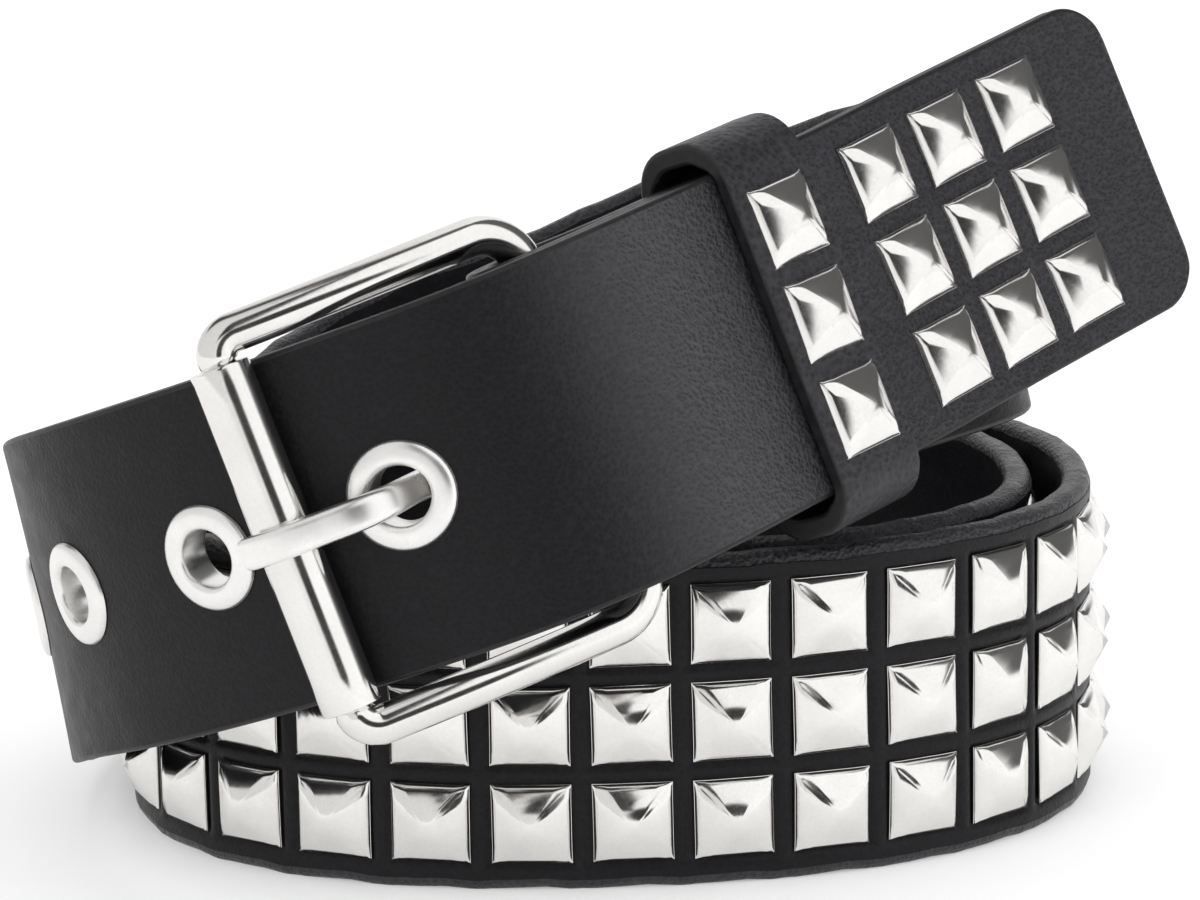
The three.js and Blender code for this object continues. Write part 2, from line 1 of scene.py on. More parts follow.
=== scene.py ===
import math
import bmesh
import bpy
import numpy as np
from mathutils import Matrix, Vector


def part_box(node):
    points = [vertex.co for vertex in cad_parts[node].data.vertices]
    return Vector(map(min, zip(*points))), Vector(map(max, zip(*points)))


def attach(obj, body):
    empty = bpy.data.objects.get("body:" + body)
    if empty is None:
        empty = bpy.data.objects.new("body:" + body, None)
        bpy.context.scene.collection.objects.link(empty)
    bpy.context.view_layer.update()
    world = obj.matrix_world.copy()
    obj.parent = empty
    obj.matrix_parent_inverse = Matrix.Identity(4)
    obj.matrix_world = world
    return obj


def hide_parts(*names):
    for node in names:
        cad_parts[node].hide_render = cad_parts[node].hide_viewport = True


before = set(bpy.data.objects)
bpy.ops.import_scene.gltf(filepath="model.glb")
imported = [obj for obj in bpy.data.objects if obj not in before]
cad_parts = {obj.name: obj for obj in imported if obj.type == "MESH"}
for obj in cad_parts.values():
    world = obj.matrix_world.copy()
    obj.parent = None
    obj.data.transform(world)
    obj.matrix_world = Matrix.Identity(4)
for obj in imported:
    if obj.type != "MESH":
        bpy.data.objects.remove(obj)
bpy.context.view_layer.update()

# A black belt with pyramid studs, fastened and wound in turns. Lengths are in mm until a mesh is made.
mm = 0.001

band = {"wide": 38.0, "thick": 3.0, "clearance": 0.35, "tipLength": 113.5, "tipCorner": 6.0,
        "flapEnd": 66.0, "foldSlack": 0.55, "closeIn": 14.0}
ring = {"wide": 56.2, "deep": 47.0, "squareness": 2.3, "twist": 3.0, "step": 15}
stud = {"size": 9.0, "pitch": 11.25, "height": 3.0, "columns": 61, "fieldStart": 93.7,
        "tipPitch": 12.0, "tipRun": 72.5}
buckle = {"reach": 35.4, "inside": 40.8, "bar": 4.4, "heelCorner": 5.0, "rollerCorner": 2.7,
          "arch": 1.4, "rollerOuter": 6.7, "rollerBore": 4.1, "axle": 3.5, "rollerRun": -12.1,
          "prongWide": 3.3, "prongThick": 2.8, "prongTip": 1.8, "eyeWall": 2.1, "slotWide": 5.2}
eyelet = {"count": 6, "spacing": 25.0, "bore": 6.6, "outer": 12.1, "barrel": 0.6, "lip": 0.95,
          "back": 0.7, "seat": 0.5}
loop = {"run": 47.5, "wide": 13.0, "wall": 1.8, "room": 2.4, "corner": 5.6}
turnPitch = band["thick"] + stud["height"] + 3 * band["clearance"]

# turn in degrees, then out in turn pitches, lift in band widths, and the width's lean right and back
turnRows = [
    (75, -1.42, 1.22, -0.22, 0.07), (105, -1.87, 1.16, -0.1, 0.03), (135, -2.0, 0.99, -0.03, 0),
    (180, -1.77, 0.67, 0, 0), (225, -1.58, 0.34, 0, 0), (270, -1.44, 0.1, 0, 0),
    (315, -1.2, 0.01, 0, 0), (360, -1, 0, 0, 0), (450, -1, 0, 0, 0), (540, -0.75, 0, 0, 0),
    (585, -0.33, 0, 0, 0), (630, -0.05, 0, 0, 0), (675, 0, 0, 0, 0), (720, 0, 0, 0, 0),
    (810, 0, 0, 0, 0), (855, 0.1, 0, 0, 0), (900, 0.36, 0.005, 0, 0),
    (930, 0.78, 0.03, -0.02, 0), (960, 1.28, 0.08, -0.08, 0.02)]
# side and deep in shares of the ring, rise in band widths, then the same two leans
frontRows = [
    (-1.164, 0.01, 0.612, -0.13, 0.04), (-1.167, -0.287, 0.685, -0.17, 0.06),
    (-1.125, -0.596, 0.795, -0.22, 0.08), (-1.011, -0.889, 0.911, -0.28, 0.1),
    (-0.836, -1.119, 1.037, -0.33, 0.107), (-0.632, -1.289, 1.166, -0.36, 0.107),
    (-0.404, -1.4, 1.3, -0.366, 0.107), (-0.196, -1.421, 1.411, -0.366, 0.107),
    (0.011, -1.338, 1.516, -0.366, 0.107), (0.19, -1.166, 1.595, -0.366, 0.107),
    (0.359, -0.962, 1.661, -0.366, 0.107), (0.53, -0.749, 1.726, -0.36, 0.107),
    (0.701, -0.54, 1.807, -0.35, 0.105), (0.936, -0.272, 1.918, -0.34, 0.1),
    (1.189, -0.013, 2.043, -0.33, 0.1)]
prongRow, prongPast = 6, 1.1


def naturalCubic(stations, values):
    s, v = np.asarray(stations, float), np.asarray(values, float)
    n = len(s)
    gap = np.diff(s)
    matrix, pull = np.eye(n), np.zeros_like(v)
    for i in range(1, n - 1):
        matrix[i, i - 1:i + 2] = gap[i - 1], 2 * (gap[i - 1] + gap[i]), gap[i]
        pull[i] = 6 * ((v[i + 1] - v[i]) / gap[i] - (v[i] - v[i - 1]) / gap[i - 1])
    bend = np.linalg.solve(matrix, pull)

    def at(where):
        where = np.atleast_1d(np.asarray(where, float))
        i = np.clip(np.searchsorted(s, where) - 1, 0, n - 2)
        h = gap[i][:, None]
        b = ((where - s[i]) / gap[i])[:, None]
        a = 1 - b
        return (a * v[i] + b * v[i + 1]
                + ((a ** 3 - a) * bend[i] + (b ** 3 - b) * bend[i + 1]) * h ** 2 / 6)
    return at


def unit(vectors):
    return vectors / np.linalg.norm(vectors, axis=-1, keepdims=True)


class Route:
    def __init__(self, points, widths):
        points, widths = np.array(points), np.array(widths)
        stations = np.concatenate([[0], np.cumsum(np.linalg.norm(np.diff(points, axis=0), axis=1))])
        fine = round(stations[-1] / 0.5)
        both = naturalCubic(stations, np.hstack([points, widths]))(
            stations[-1] * np.arange(fine + 1) / fine)
        self.place, self.width = both[:, :3], both[:, 3:]
        steps = np.linalg.norm(np.diff(self.place, axis=0), axis=1)
        self.run = np.concatenate([[0], np.cumsum(steps)])

    def frames(self, runs):
        runs = np.atleast_1d(np.asarray(runs, float))
        last = len(self.run) - 1
        low = np.clip(np.searchsorted(self.run, runs, side="right") - 1, 0, last - 1)
        share = ((runs - self.run[low]) / (self.run[low + 1] - self.run[low]))[:, None]
        place = self.place[low] * (1 - share) + self.place[low + 1] * share
        along = unit(self.place[np.minimum(low + 2, last)] - self.place[np.maximum(low - 1, 0)])
        width = self.width[low] * (1 - share) + self.width[low + 1] * share
        width = unit(width - along * np.sum(width * along, axis=1, keepdims=True))
        return place, along, width, unit(np.cross(along, width))

    def point(self, runs, across=0.0, out=0.0):
        place, _, width, outward = self.frames(runs)
        column = lambda x: np.broadcast_to(np.asarray(x, float), (len(place),))[:, None]
        return place + width * column(across) + outward * column(out)

    def nearest(self, target):
        return self.run[np.argmin(np.linalg.norm(self.place - target, axis=1))]


def widthOf(slant, recline):
    return unit(np.array([slant, recline, 1.0]))


def ovalRadius(turn):
    angle = math.radians(turn - ring["twist"])
    power = ring["squareness"]
    side, deep = abs(math.sin(angle)) / ring["wide"], abs(math.cos(angle)) / ring["deep"]
    return (side ** power + deep ** power) ** (-1 / power)


def woundPoints():
    at = naturalCubic([r[0] for r in turnRows], [r[1:] for r in turnRows])
    points, widths = [], []
    for turn in range(turnRows[0][0], turnRows[-1][0] + 1, ring["step"]):
        out, lift, slant, recline = at(turn)[0]
        reach = ovalRadius(turn) + out * turnPitch
        points.append((reach * math.sin(math.radians(turn)), -reach * math.cos(math.radians(turn)),
                       max(lift, 0) * band["wide"] + band["wide"] / 2))
        widths.append(widthOf(slant, recline))
    for side, deep, rise, slant, recline in frontRows:
        points.append((side * ring["wide"], deep * ring["deep"], rise * band["wide"]))
        widths.append(widthOf(slant, recline))
    return points, widths


woundPlaces, woundWidths = woundPoints()
wound = Route(woundPlaces, woundWidths)
prongPlace = np.array(woundPlaces[len(woundPlaces) - len(frontRows) + prongRow])
woundProng = wound.nearest(prongPlace) + prongPast
underLayer = -(band["thick"] + band["clearance"])
foldRadius = band["thick"] / 2 + band["clearance"] + band["foldSlack"] + buckle["bar"] / 2
heelDepth = underLayer - foldRadius
eyeInner = buckle["bar"] / 2 + band["clearance"]
rollerDepth = band["thick"] / 2 + band["clearance"] + buckle["rollerOuter"] / 2
flapDepth = 2 * underLayer
rollerPlace = wound.point(woundProng + buckle["rollerRun"], 0, rollerDepth)[0]
heelRun = buckle["rollerRun"] + buckle["reach"] / 2
while np.linalg.norm(wound.point(woundProng + heelRun, 0, heelDepth)[0] - rollerPlace) < buckle["reach"]:
    heelRun += 0.05


def wholeRoute():
    points, widths = [], []

    def add(run, out):
        points.append(wound.point(woundProng + run, 0, out)[0])
        widths.append(wound.frames(woundProng + run)[2][0])
    run = band["flapEnd"]
    while run > heelRun + 1:
        share = np.clip((heelRun + band["closeIn"] - run) / band["closeIn"], 0, 1)
        share = share * share * (3 - 2 * share)
        add(run, flapDepth + share * (heelDepth - foldRadius - flapDepth))
        run -= 5
    _, along, width, out = (v[0] for v in wound.frames(woundProng + heelRun))
    centre = wound.point(woundProng + heelRun, 0, heelDepth)[0]
    for turn in range(0, 181, 30):
        a = math.radians(turn)
        points.append(centre - out * foldRadius * math.cos(a) - along * foldRadius * math.sin(a))
        widths.append(width)
    run = heelRun + 4
    while run < loop["run"] + loop["wide"] + 3:
        add(run, underLayer)
        run += 5
    return Route(points + list(woundPlaces), widths + list(woundWidths)), centre


route, heelPlace = wholeRoute()
prongHole = route.nearest(prongPlace) + prongPast
_, heelAlong, _, _ = (v[0] for v in wound.frames(woundProng + heelRun))
heelOnRoute = route.nearest(wound.point(woundProng + heelRun, 0, heelDepth)[0] - heelAlong * foldRadius)
bandEnd = prongHole + band["tipLength"]
rollerCentre = route.point(prongHole + buckle["rollerRun"], 0, rollerDepth)[0]
buckleAlong = unit(heelPlace - rollerCentre)
buckleWidth = route.frames(prongHole + (buckle["rollerRun"] + heelRun) / 2)[2][0]
buckleWidth = unit(buckleWidth - buckleAlong * np.dot(buckleWidth, buckleAlong))
buckleOut = np.cross(buckleAlong, buckleWidth)
eyeletRuns = [prongHole - i * eyelet["spacing"] for i in range(eyelet["count"])]
rowOffsets = [-stud["pitch"], 0.0, stud["pitch"]]


# The frame's origin against the route's: a stud of the tip is the same shape in both
def frameShift():
    run = prongHole + stud["tipRun"] + stud["tipPitch"]
    _, along, width, out = (v[0] for v in route.frames(run))
    seat = route.point(run, 0, band["thick"] / 2 + band["clearance"])[0]
    half = stud["size"] / 2
    corners = [seat + along * a * half + width * b * half for a in (-1, 1) for b in (-1, 1)]
    corners.append(seat + out * (stud["height"] - band["clearance"]))
    corners += [c + out * 0.4 for c in corners[:4]]
    middle = (np.min(corners, axis=0) + np.max(corners, axis=0)) / 2
    low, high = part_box("tip_stud_2b")
    return (np.array(low) + np.array(high)) / 2 / mm - middle


shift = frameShift()
print("route", round(route.run[-1], 1), "mm, shift", shift.round(3))


# Meshes

def addObject(name, data):
    made = bpy.data.objects.new(name, data)
    bpy.context.scene.collection.objects.link(made)
    return made


def finishMesh(name, vertices, faces, materials, uvs=None, faceSlots=None, sharp=32.0):
    mesh = bpy.data.meshes.new(name)
    mesh.from_pydata([tuple(v) for v in (np.asarray(vertices) + shift) * mm], [], faces)
    for material in materials:
        mesh.materials.append(material)
    if uvs is not None:
        layer = mesh.uv_layers.new(name="bandUv")
        corner = np.zeros(len(mesh.loops), dtype=np.int32)
        mesh.loops.foreach_get("vertex_index", corner)
        layer.data.foreach_set("uv", np.asarray(uvs, dtype=np.float32)[corner].ravel())
    if faceSlots is not None:
        mesh.polygons.foreach_set("material_index", np.asarray(faceSlots, dtype=np.int32))
    mesh.validate()
    mesh.shade_smooth()
    if sharp:
        mesh.set_sharp_from_angle(angle=math.radians(sharp))
    mesh.update()
    return addObject(name, mesh)


# Quads between rings of equal count; ends closed by a fan when the rings aren't a loop
def ringFaces(rings, count, closeRings=False, caps=True):
    faces = []
    for i in range(rings if closeRings else rings - 1):
        a, b = i * count, ((i + 1) % rings) * count
        for k in range(count):
            n = (k + 1) % count
            faces.append((a + k, a + n, b + n, b + k))
    if caps and not closeRings:
        faces.append(tuple(reversed(range(count))))
        faces.append(tuple(range((rings - 1) * count, rings * count)))
    return faces


def pointOutwards(piece):
    work = bmesh.new()
    work.from_mesh(piece.data)
    bmesh.ops.recalc_face_normals(work, faces=work.faces)
    if work.calc_volume(signed=True) < 0:
        bmesh.ops.reverse_faces(work, faces=work.faces)
    work.to_mesh(piece.data)
    work.free()


def joinPieces(name, pieces):
    work = bmesh.new()
    for piece in pieces:
        work.from_mesh(piece.data)
    mesh = bpy.data.meshes.new(name)
    work.to_mesh(mesh)
    work.free()
    for material in pieces[0].data.materials:
        mesh.materials.append(material)
    for piece in pieces:
        bpy.data.objects.remove(piece, do_unlink=True)
    return addObject(name, mesh)


# A turned profile of (radius, height), closed on itself, laid on the axes by place()
def turned(name, profile, segments, place, material, sharp=40.0):
    vertices = []
    for i in range(segments):
        a = 2 * math.pi * i / segments
        vertices += [place(r * math.cos(a), r * math.sin(a), h) for r, h in profile]
    faces = ringFaces(segments, len(profile), closeRings=True)
    piece = finishMesh(name, vertices, faces, [material], sharp=sharp)
    pointOutwards(piece)
    piece.data.set_sharp_from_angle(angle=math.radians(sharp))
    return piece


# Materials

def newMaterial(name):
    material = bpy.data.materials.new(name)
    material.use_nodes = True
    tree = material.node_tree
    return material, tree, tree.nodes["Principled BSDF"]


def addNode(tree, kind, **values):
    node = tree.nodes.new(kind)
    for key, value in values.items():
        if hasattr(node, key):
            setattr(node, key, value)
        else:
            node.inputs[key.replace("_", " ")].default_value = value
    return node


def ramp(tree, source, stops):
    node = tree.nodes.new("ShaderNodeValToRGB")
    elements = node.color_ramp.elements
    while len(elements) < len(stops):
        elements.new(0.5)
    for element, (position, color) in zip(elements, stops):
        element.position = position
        element.color = (*color, 1) if len(color) == 3 else color
    tree.links.new(source, node.inputs["Fac"])
    return node.outputs["Color"]


def mathNode(tree, operation, a, b=None, c=None):
    node = tree.nodes.new("ShaderNodeMath")
    node.operation = operation
    for socket, value in zip(node.inputs, (a, b, c)):
        if value is None:
            continue
        if isinstance(value, (int, float)):
            socket.default_value = value
        else:
            tree.links.new(value, socket)
    return node.outputs[0]


# From 0 below low to 1 above high, eased
def easedStep(tree, value, low, high):
    node = addNode(tree, "ShaderNodeMapRange", interpolation_type="SMOOTHSTEP")
    tree.links.new(value, node.inputs["Value"])
    node.inputs["From Min"].default_value, node.inputs["From Max"].default_value = low, high
    return node.outputs["Result"]


# The value's stretch between low and high, laid on toLow to toHigh
def laidOn(tree, value, low, high, toLow, toHigh):
    node = addNode(tree, "ShaderNodeMapRange")
    tree.links.new(value, node.inputs["Value"])
    node.inputs["From Min"].default_value, node.inputs["From Max"].default_value = low, high
    node.inputs["To Min"].default_value, node.inputs["To Max"].default_value = toLow, toHigh
    return node.outputs["Result"]


# the second pair of tones is a lighter copy for the pebbled leather, painted light
leatherLook = {"dark": (0.0050, 0.0050, 0.0058), "light": (0.0140, 0.0140, 0.0172),
               "litDark": (0.0070, 0.0070, 0.0088), "litBright": (0.0310, 0.0304, 0.0370),
               "grain": 1900.0, "fineGrain": 5200.0, "grainDepth": 0.00019, "crease": 260.0,
               "roughLow": 0.34, "roughHigh": 0.46, "shine": 0.2, "pebbledShine": 0.18, "flexedShine": 0.55,
               "smoothTo": (prongHole + 8) / 100, "pebbledFrom": (prongHole + 44) / 100,
               "flexed": (prongHole + 36) / 100, "flexedWide": 0.19}


# Fine-grained leather; its U, the run in tenths of a metre, says how smooth it is pressed and how much
# painted light its tone gets
def leatherMaterial(name, look):
    material, tree, shader = newMaterial(name)
    link = tree.links.new
    spot = addNode(tree, "ShaderNodeTexCoord").outputs["Object"]
    cells = addNode(tree, "ShaderNodeTexVoronoi", feature="SMOOTH_F1", Scale=look["grain"],
                    Smoothness=0.35)
    wander = addNode(tree, "ShaderNodeTexNoise", Scale=look["grain"] * 0.35, Detail=3.0)
    link(spot, wander.inputs["Vector"])
    mixed = addNode(tree, "ShaderNodeMix", data_type="VECTOR")
    mixed.inputs["Factor"].default_value = 0.0006
    link(spot, mixed.inputs[4])
    link(wander.outputs["Color"], mixed.inputs[5])
    link(mixed.outputs[1], cells.inputs["Vector"])
    fine = addNode(tree, "ShaderNodeTexNoise", Scale=look["fineGrain"], Detail=4.0, Roughness=0.6)
    link(spot, fine.inputs["Vector"])
    creases = addNode(tree, "ShaderNodeTexNoise", Scale=look["crease"], Detail=5.0, Roughness=0.55,
                      Distortion=0.6)
    link(spot, creases.inputs["Vector"])
    broad = addNode(tree, "ShaderNodeTexNoise", Scale=45.0, Detail=3.0)
    link(spot, broad.inputs["Vector"])
    height = mathNode(tree, "MULTIPLY_ADD", cells.outputs["Distance"], 0.8,
                      mathNode(tree, "MULTIPLY", fine.outputs["Fac"], 0.5))
    height = mathNode(tree, "MULTIPLY_ADD", creases.outputs["Fac"], 0.9, height)
    bump = addNode(tree, "ShaderNodeBump", Distance=look["grainDepth"])
    link(height, bump.inputs["Height"])
    link(bump.outputs["Normal"], shader.inputs["Normal"])
    # the free end keeps its pebbled grain, the rest is pressed smooth; the same mask gives the free end's
    # tone its painted light
    run = addNode(tree, "ShaderNodeSeparateXYZ")
    link(addNode(tree, "ShaderNodeUVMap", uv_map="bandUv").outputs["UV"], run.inputs["Vector"])
    pebbledAndLit = easedStep(tree, run.outputs["X"], look["smoothTo"], look["pebbledFrom"])
    link(mathNode(tree, "MULTIPLY_ADD", pebbledAndLit, 0.75, 0.25), bump.inputs["Strength"])
    # the tone varies at random and with the grain, lighter on its tops and darker in its creases as painted
    # highlight and shade; where pebbled it is raised and drawn from a lighter ramp, painted light
    tone = mathNode(tree, "MULTIPLY_ADD", broad.outputs["Fac"], 0.2,
                    mathNode(tree, "MULTIPLY", fine.outputs["Fac"], 0.35))
    tone = mathNode(tree, "MULTIPLY_ADD", cells.outputs["Distance"], 0.5, tone)
    tone = mathNode(tree, "MULTIPLY", tone, mathNode(tree, "MULTIPLY_ADD", pebbledAndLit, 0.35, 0.65))
    smooth = ramp(tree, tone, [(0.2, look["dark"]), (0.72, look["light"])])
    litTone = ramp(tree, tone, [(0.3, look["litDark"]), (0.72, look["litBright"])])
    tones = addNode(tree, "ShaderNodeMix", data_type="RGBA")
    link(pebbledAndLit, tones.inputs["Factor"])
    link(smooth, tones.inputs[6])
    link(litTone, tones.inputs[7])
    link(tones.outputs[2], shader.inputs["Base Color"])
    # it shines more where it flexes in front of the loop
    flexed = mathNode(tree, "SUBTRACT", 1.0, easedStep(tree, mathNode(tree, "ABSOLUTE", mathNode(
        tree, "SUBTRACT", run.outputs["X"], look["flexed"])), 0.0, look["flexedWide"]))
    shine = mathNode(tree, "MULTIPLY_ADD", pebbledAndLit, look["pebbledShine"], look["shine"])
    link(mathNode(tree, "MULTIPLY_ADD", flexed, look["flexedShine"], shine),
         shader.inputs["Specular IOR Level"])
    link(laidOn(tree, creases.outputs["Fac"], 0.3, 0.7, look["roughLow"], look["roughHigh"]),
         shader.inputs["Roughness"])
    shader.inputs["IOR"].default_value = 1.47
    return material


# Burnished cut edge: duller, a little lighter, with the layers' fine lines along the band
def edgeMaterial(name):
    material, tree, shader = newMaterial(name)
    link = tree.links.new
    place = addNode(tree, "ShaderNodeUVMap", uv_map="bandUv").outputs["UV"]
    spread = addNode(tree, "ShaderNodeMapping")
    spread.inputs["Scale"].default_value = (6.0, 260.0, 1.0)
    link(place, spread.inputs["Vector"])
    fibres = addNode(tree, "ShaderNodeTexNoise", Scale=3.0, Detail=5.0, Roughness=0.7)
    link(spread.outputs["Vector"], fibres.inputs["Vector"])
    spot = addNode(tree, "ShaderNodeTexCoord").outputs["Object"]
    rub = addNode(tree, "ShaderNodeTexNoise", Scale=900.0, Detail=3.0)
    link(spot, rub.inputs["Vector"])
    tone = mathNode(tree, "MULTIPLY_ADD", fibres.outputs["Fac"], 0.6,
                    mathNode(tree, "MULTIPLY", rub.outputs["Fac"], 0.4))
    link(ramp(tree, tone, [(0.35, (0.006, 0.006, 0.007)), (0.72, (0.022, 0.022, 0.023))]),
         shader.inputs["Base Color"])
    bump = addNode(tree, "ShaderNodeBump", Strength=0.5, Distance=0.00008)
    link(tone, bump.inputs["Height"])
    link(bump.outputs["Normal"], shader.inputs["Normal"])
    link(mathNode(tree, "MULTIPLY_ADD", rub.outputs["Fac"], 0.3, 0.25), shader.inputs["Roughness"])
    shader.inputs["Specular IOR Level"].default_value = 0.3
    return material


nickelLook = {"color": (0.90, 0.885, 0.865), "rough": 0.10, "roughSpread": 0.10, "wave": 260.0,
              "waveDepth": 0.00002, "scratch": 0.35}


# Polished nickel plate: faint waves and hairlines, a little duller where it is handled
def nickelMaterial(name, look):
    material, tree, shader = newMaterial(name)
    link = tree.links.new
    spot = addNode(tree, "ShaderNodeTexCoord").outputs["Object"]
    waves = addNode(tree, "ShaderNodeTexNoise", Scale=look["wave"], Detail=2.0)
    link(spot, waves.inputs["Vector"])
    stretch = addNode(tree, "ShaderNodeMapping")
    stretch.inputs["Scale"].default_value = (300.0, 420.0, 7000.0)
    stretch.inputs["Rotation"].default_value = (0.35, 0.5, 0.2)
    link(spot, stretch.inputs["Vector"])
    lines = addNode(tree, "ShaderNodeTexNoise", Scale=1.0, Detail=3.0, Roughness=0.7)
    link(stretch.outputs["Vector"], lines.inputs["Vector"])
    specks = addNode(tree, "ShaderNodeTexNoise", Scale=2600.0, Detail=4.0, Roughness=0.7)
    link(spot, specks.inputs["Vector"])
    height = mathNode(tree, "MULTIPLY_ADD", lines.outputs["Fac"], look["scratch"] * 0.05,
                      waves.outputs["Fac"])
    height = mathNode(tree, "MULTIPLY_ADD", specks.outputs["Fac"], 0.04, height)
    bump = addNode(tree, "ShaderNodeBump", Strength=0.6, Distance=look["waveDepth"])
    link(height, bump.inputs["Height"])
    link(bump.outputs["Normal"], shader.inputs["Normal"])
    wear = mathNode(tree, "MULTIPLY_ADD", specks.outputs["Fac"], 0.5,
                    mathNode(tree, "MULTIPLY", waves.outputs["Fac"], 0.5))
    link(laidOn(tree, wear, 0.35, 0.65, look["rough"], look["rough"] + look["roughSpread"]),
         shader.inputs["Roughness"])
    dull = tuple(c * 0.9 for c in look["color"])
    link(ramp(tree, wear, [(0.35, look["color"]), (0.7, dull)]), shader.inputs["Base Color"])
    shader.inputs["Metallic"].default_value = 1.0
    return material


strapLeather = leatherMaterial("strapLeather", leatherLook)
# the loop is pebbled all over, so its whole tone is the lighter painted-light copy
loopLeather = leatherMaterial("loopLeather", {**leatherLook, "grain": 1300.0, "smoothTo": -2.0,
                                              "pebbledFrom": -1.0})
cutEdge = edgeMaterial("cutEdge")
studNickel = nickelMaterial("studNickel", nickelLook)
buckleNickel = nickelMaterial("buckleNickel", {**nickelLook, "rough": 0.10, "roughSpread": 0.07,
                                               "wave": 150.0})
satinNickel = nickelMaterial("satinNickel", {**nickelLook, "color": (0.95, 0.94, 0.925), "rough": 0.27,
                                             "roughSpread": 0.05, "waveDepth": 0.000006})
# the turned edges are pebbled all over, so their whole tone is the lighter painted-light copy
foldedLeather = leatherMaterial("foldedLeather", {**leatherLook, "crease": 520.0, "grainDepth": 0.0003,
                                                  "shine": 0.35, "roughLow": 0.24, "roughHigh": 0.40,
                                                  "smoothTo": -2.0, "pebbledFrom": -1.0})


# The band

leather = {"edgeRound": 0.55, "turnedRound": 1.25, "groove": 0.22, "arcSteps": 4, "puff": 0.34,
           "margin": 0.42, "sink": 0.12, "wave": 0.09, "uneven": 0.08, "plainStep": 1.6,
           "dent": 0.16, "dentReach": 0.7, "dentRun": 26}
fieldFirst = heelOnRoute + stud["fieldStart"]
fieldLast = fieldFirst + (stud["columns"] - 1) * stud["pitch"] + stud["size"]


def smoothStep(x, low, high):
    x = np.clip((x - low) / (high - low), 0, 1)
    return x * x * (3 - 2 * x)


def halfAt(runs):
    corner = band["tipCorner"]
    into = np.maximum(0, runs - (bandEnd - corner))
    return band["wide"] / 2 - corner + np.sqrt(np.maximum(0, corner ** 2 - into ** 2))


def bandRuns():
    runs = [0, 0.25, 0.6]
    runs += list(np.arange(1.5, heelOnRoute - 14, leather["plainStep"]))
    runs += list(np.arange(heelOnRoute - 14, heelOnRoute + 14, 0.9))
    runs += list(np.arange(heelOnRoute + 14, fieldFirst - 0.7, leather["plainStep"]))
    gap = stud["pitch"] - stud["size"]
    for column in range(stud["columns"]):
        start = fieldFirst + column * stud["pitch"]
        runs += [start, start + 0.25, start + 3, start + 6, start + stud["size"] - 0.25,
                 start + stud["size"]]
        if column < stud["columns"] - 1:
            runs += [start + stud["size"] + gap * share for share in (0.22, 0.5, 0.78)]
    runs += list(np.arange(fieldLast + 0.8, bandEnd - band["tipCorner"] - 0.5, leather["plainStep"]))
    runs += [bandEnd - band["tipCorner"] + band["tipCorner"] * math.sin(math.radians(a))
             for a in range(0, 90, 6)] + [bandEnd - 0.03]
    return np.array(runs)


# Section round the band as (across, out, side), once for a cut edge and once for a turned one;
# side is 1 on the front face, 2 on the edges, 3 on the back
def bandSection(radius, groove):
    half, t, steps = band["wide"] / 2, band["thick"] / 2, leather["arcSteps"]
    gap = stud["pitch"] - stud["size"]
    front = []
    for offset in rowOffsets:
        edge = offset - stud["size"] / 2
        front += [edge, edge + 0.25, edge + 3, edge + 6, edge + stud["size"] - 0.25,
                  edge + stud["size"]]
        if offset < rowOffsets[-1]:
            front += [edge + stud["size"] + gap * share for share in (0.22, 0.5, 0.78)]
    inner = half - radius
    low, high = front[0], front[-1]
    front = [low - (inner + low) * s for s in (0.95, 0.7, 0.45, 0.2)] + front
    front += [high + (inner - high) * s for s in (0.2, 0.45, 0.7, 0.95)]
    points = [(a, t, 1) for a in front]
    arc = [math.radians(90 * k / steps) for k in range(steps + 1)]
    points += [(inner + radius * math.sin(a), t - radius + radius * math.cos(a), 2) for a in arc]
    wall = t - radius
    points += [(half, wall * 0.4 + 0.12, 2), (half - groove, 0, 2), (half, -wall * 0.4 - 0.12, 2)]
    points += [(inner + radius * math.cos(a), -t + radius - radius * math.sin(a), 2) for a in arc]
    points += [(a, -t, 3) for a in np.linspace(inner - 1, 1 - inner, 15)]
    points += [(-inner - radius * math.sin(a), -t + radius - radius * math.cos(a), 2) for a in arc]
    points += [(-half, -wall * 0.4 - 0.12, 2), (groove - half, 0, 2), (-half, wall * 0.4 + 0.12, 2)]
    points += [(-inner - radius * math.cos(a), t - radius + radius * math.sin(a), 2) for a in arc]
    return np.array(points)


# Distance from a stud's edge, in mm, inside negative
def fromStud(runs, across, first, pitch, columns, rows=3):
    column = np.clip(np.round((runs - first - stud["size"] / 2) / pitch), 0, columns - 1)
    row = np.clip(np.round(across / stud["pitch"]), -(rows // 2), rows // 2)
    dx = np.abs(runs - first - stud["size"] / 2 - column * pitch)
    dy = np.abs(across - row * stud["pitch"])
    return np.maximum(dx, dy) - stud["size"] / 2


# Behind the buckle the inner turn stands up a little higher, so that it is seen above the strap
standUp = {"rise": 2.9, "side": (-20.0, 4.0), "deep": (2.0, 14.0), "above": (2.0, 7.0)}


def riseAt(runs):
    runs = np.asarray(runs, dtype=float)
    x, y, z = route.frames(runs)[0].T
    share = (1 - smoothStep(x, *standUp["side"])) * smoothStep(y, *standUp["deep"])
    share *= smoothStep(z - band["wide"] / 2, *standUp["above"])
    return standUp["rise"] * share * (runs < prongHole / 2)


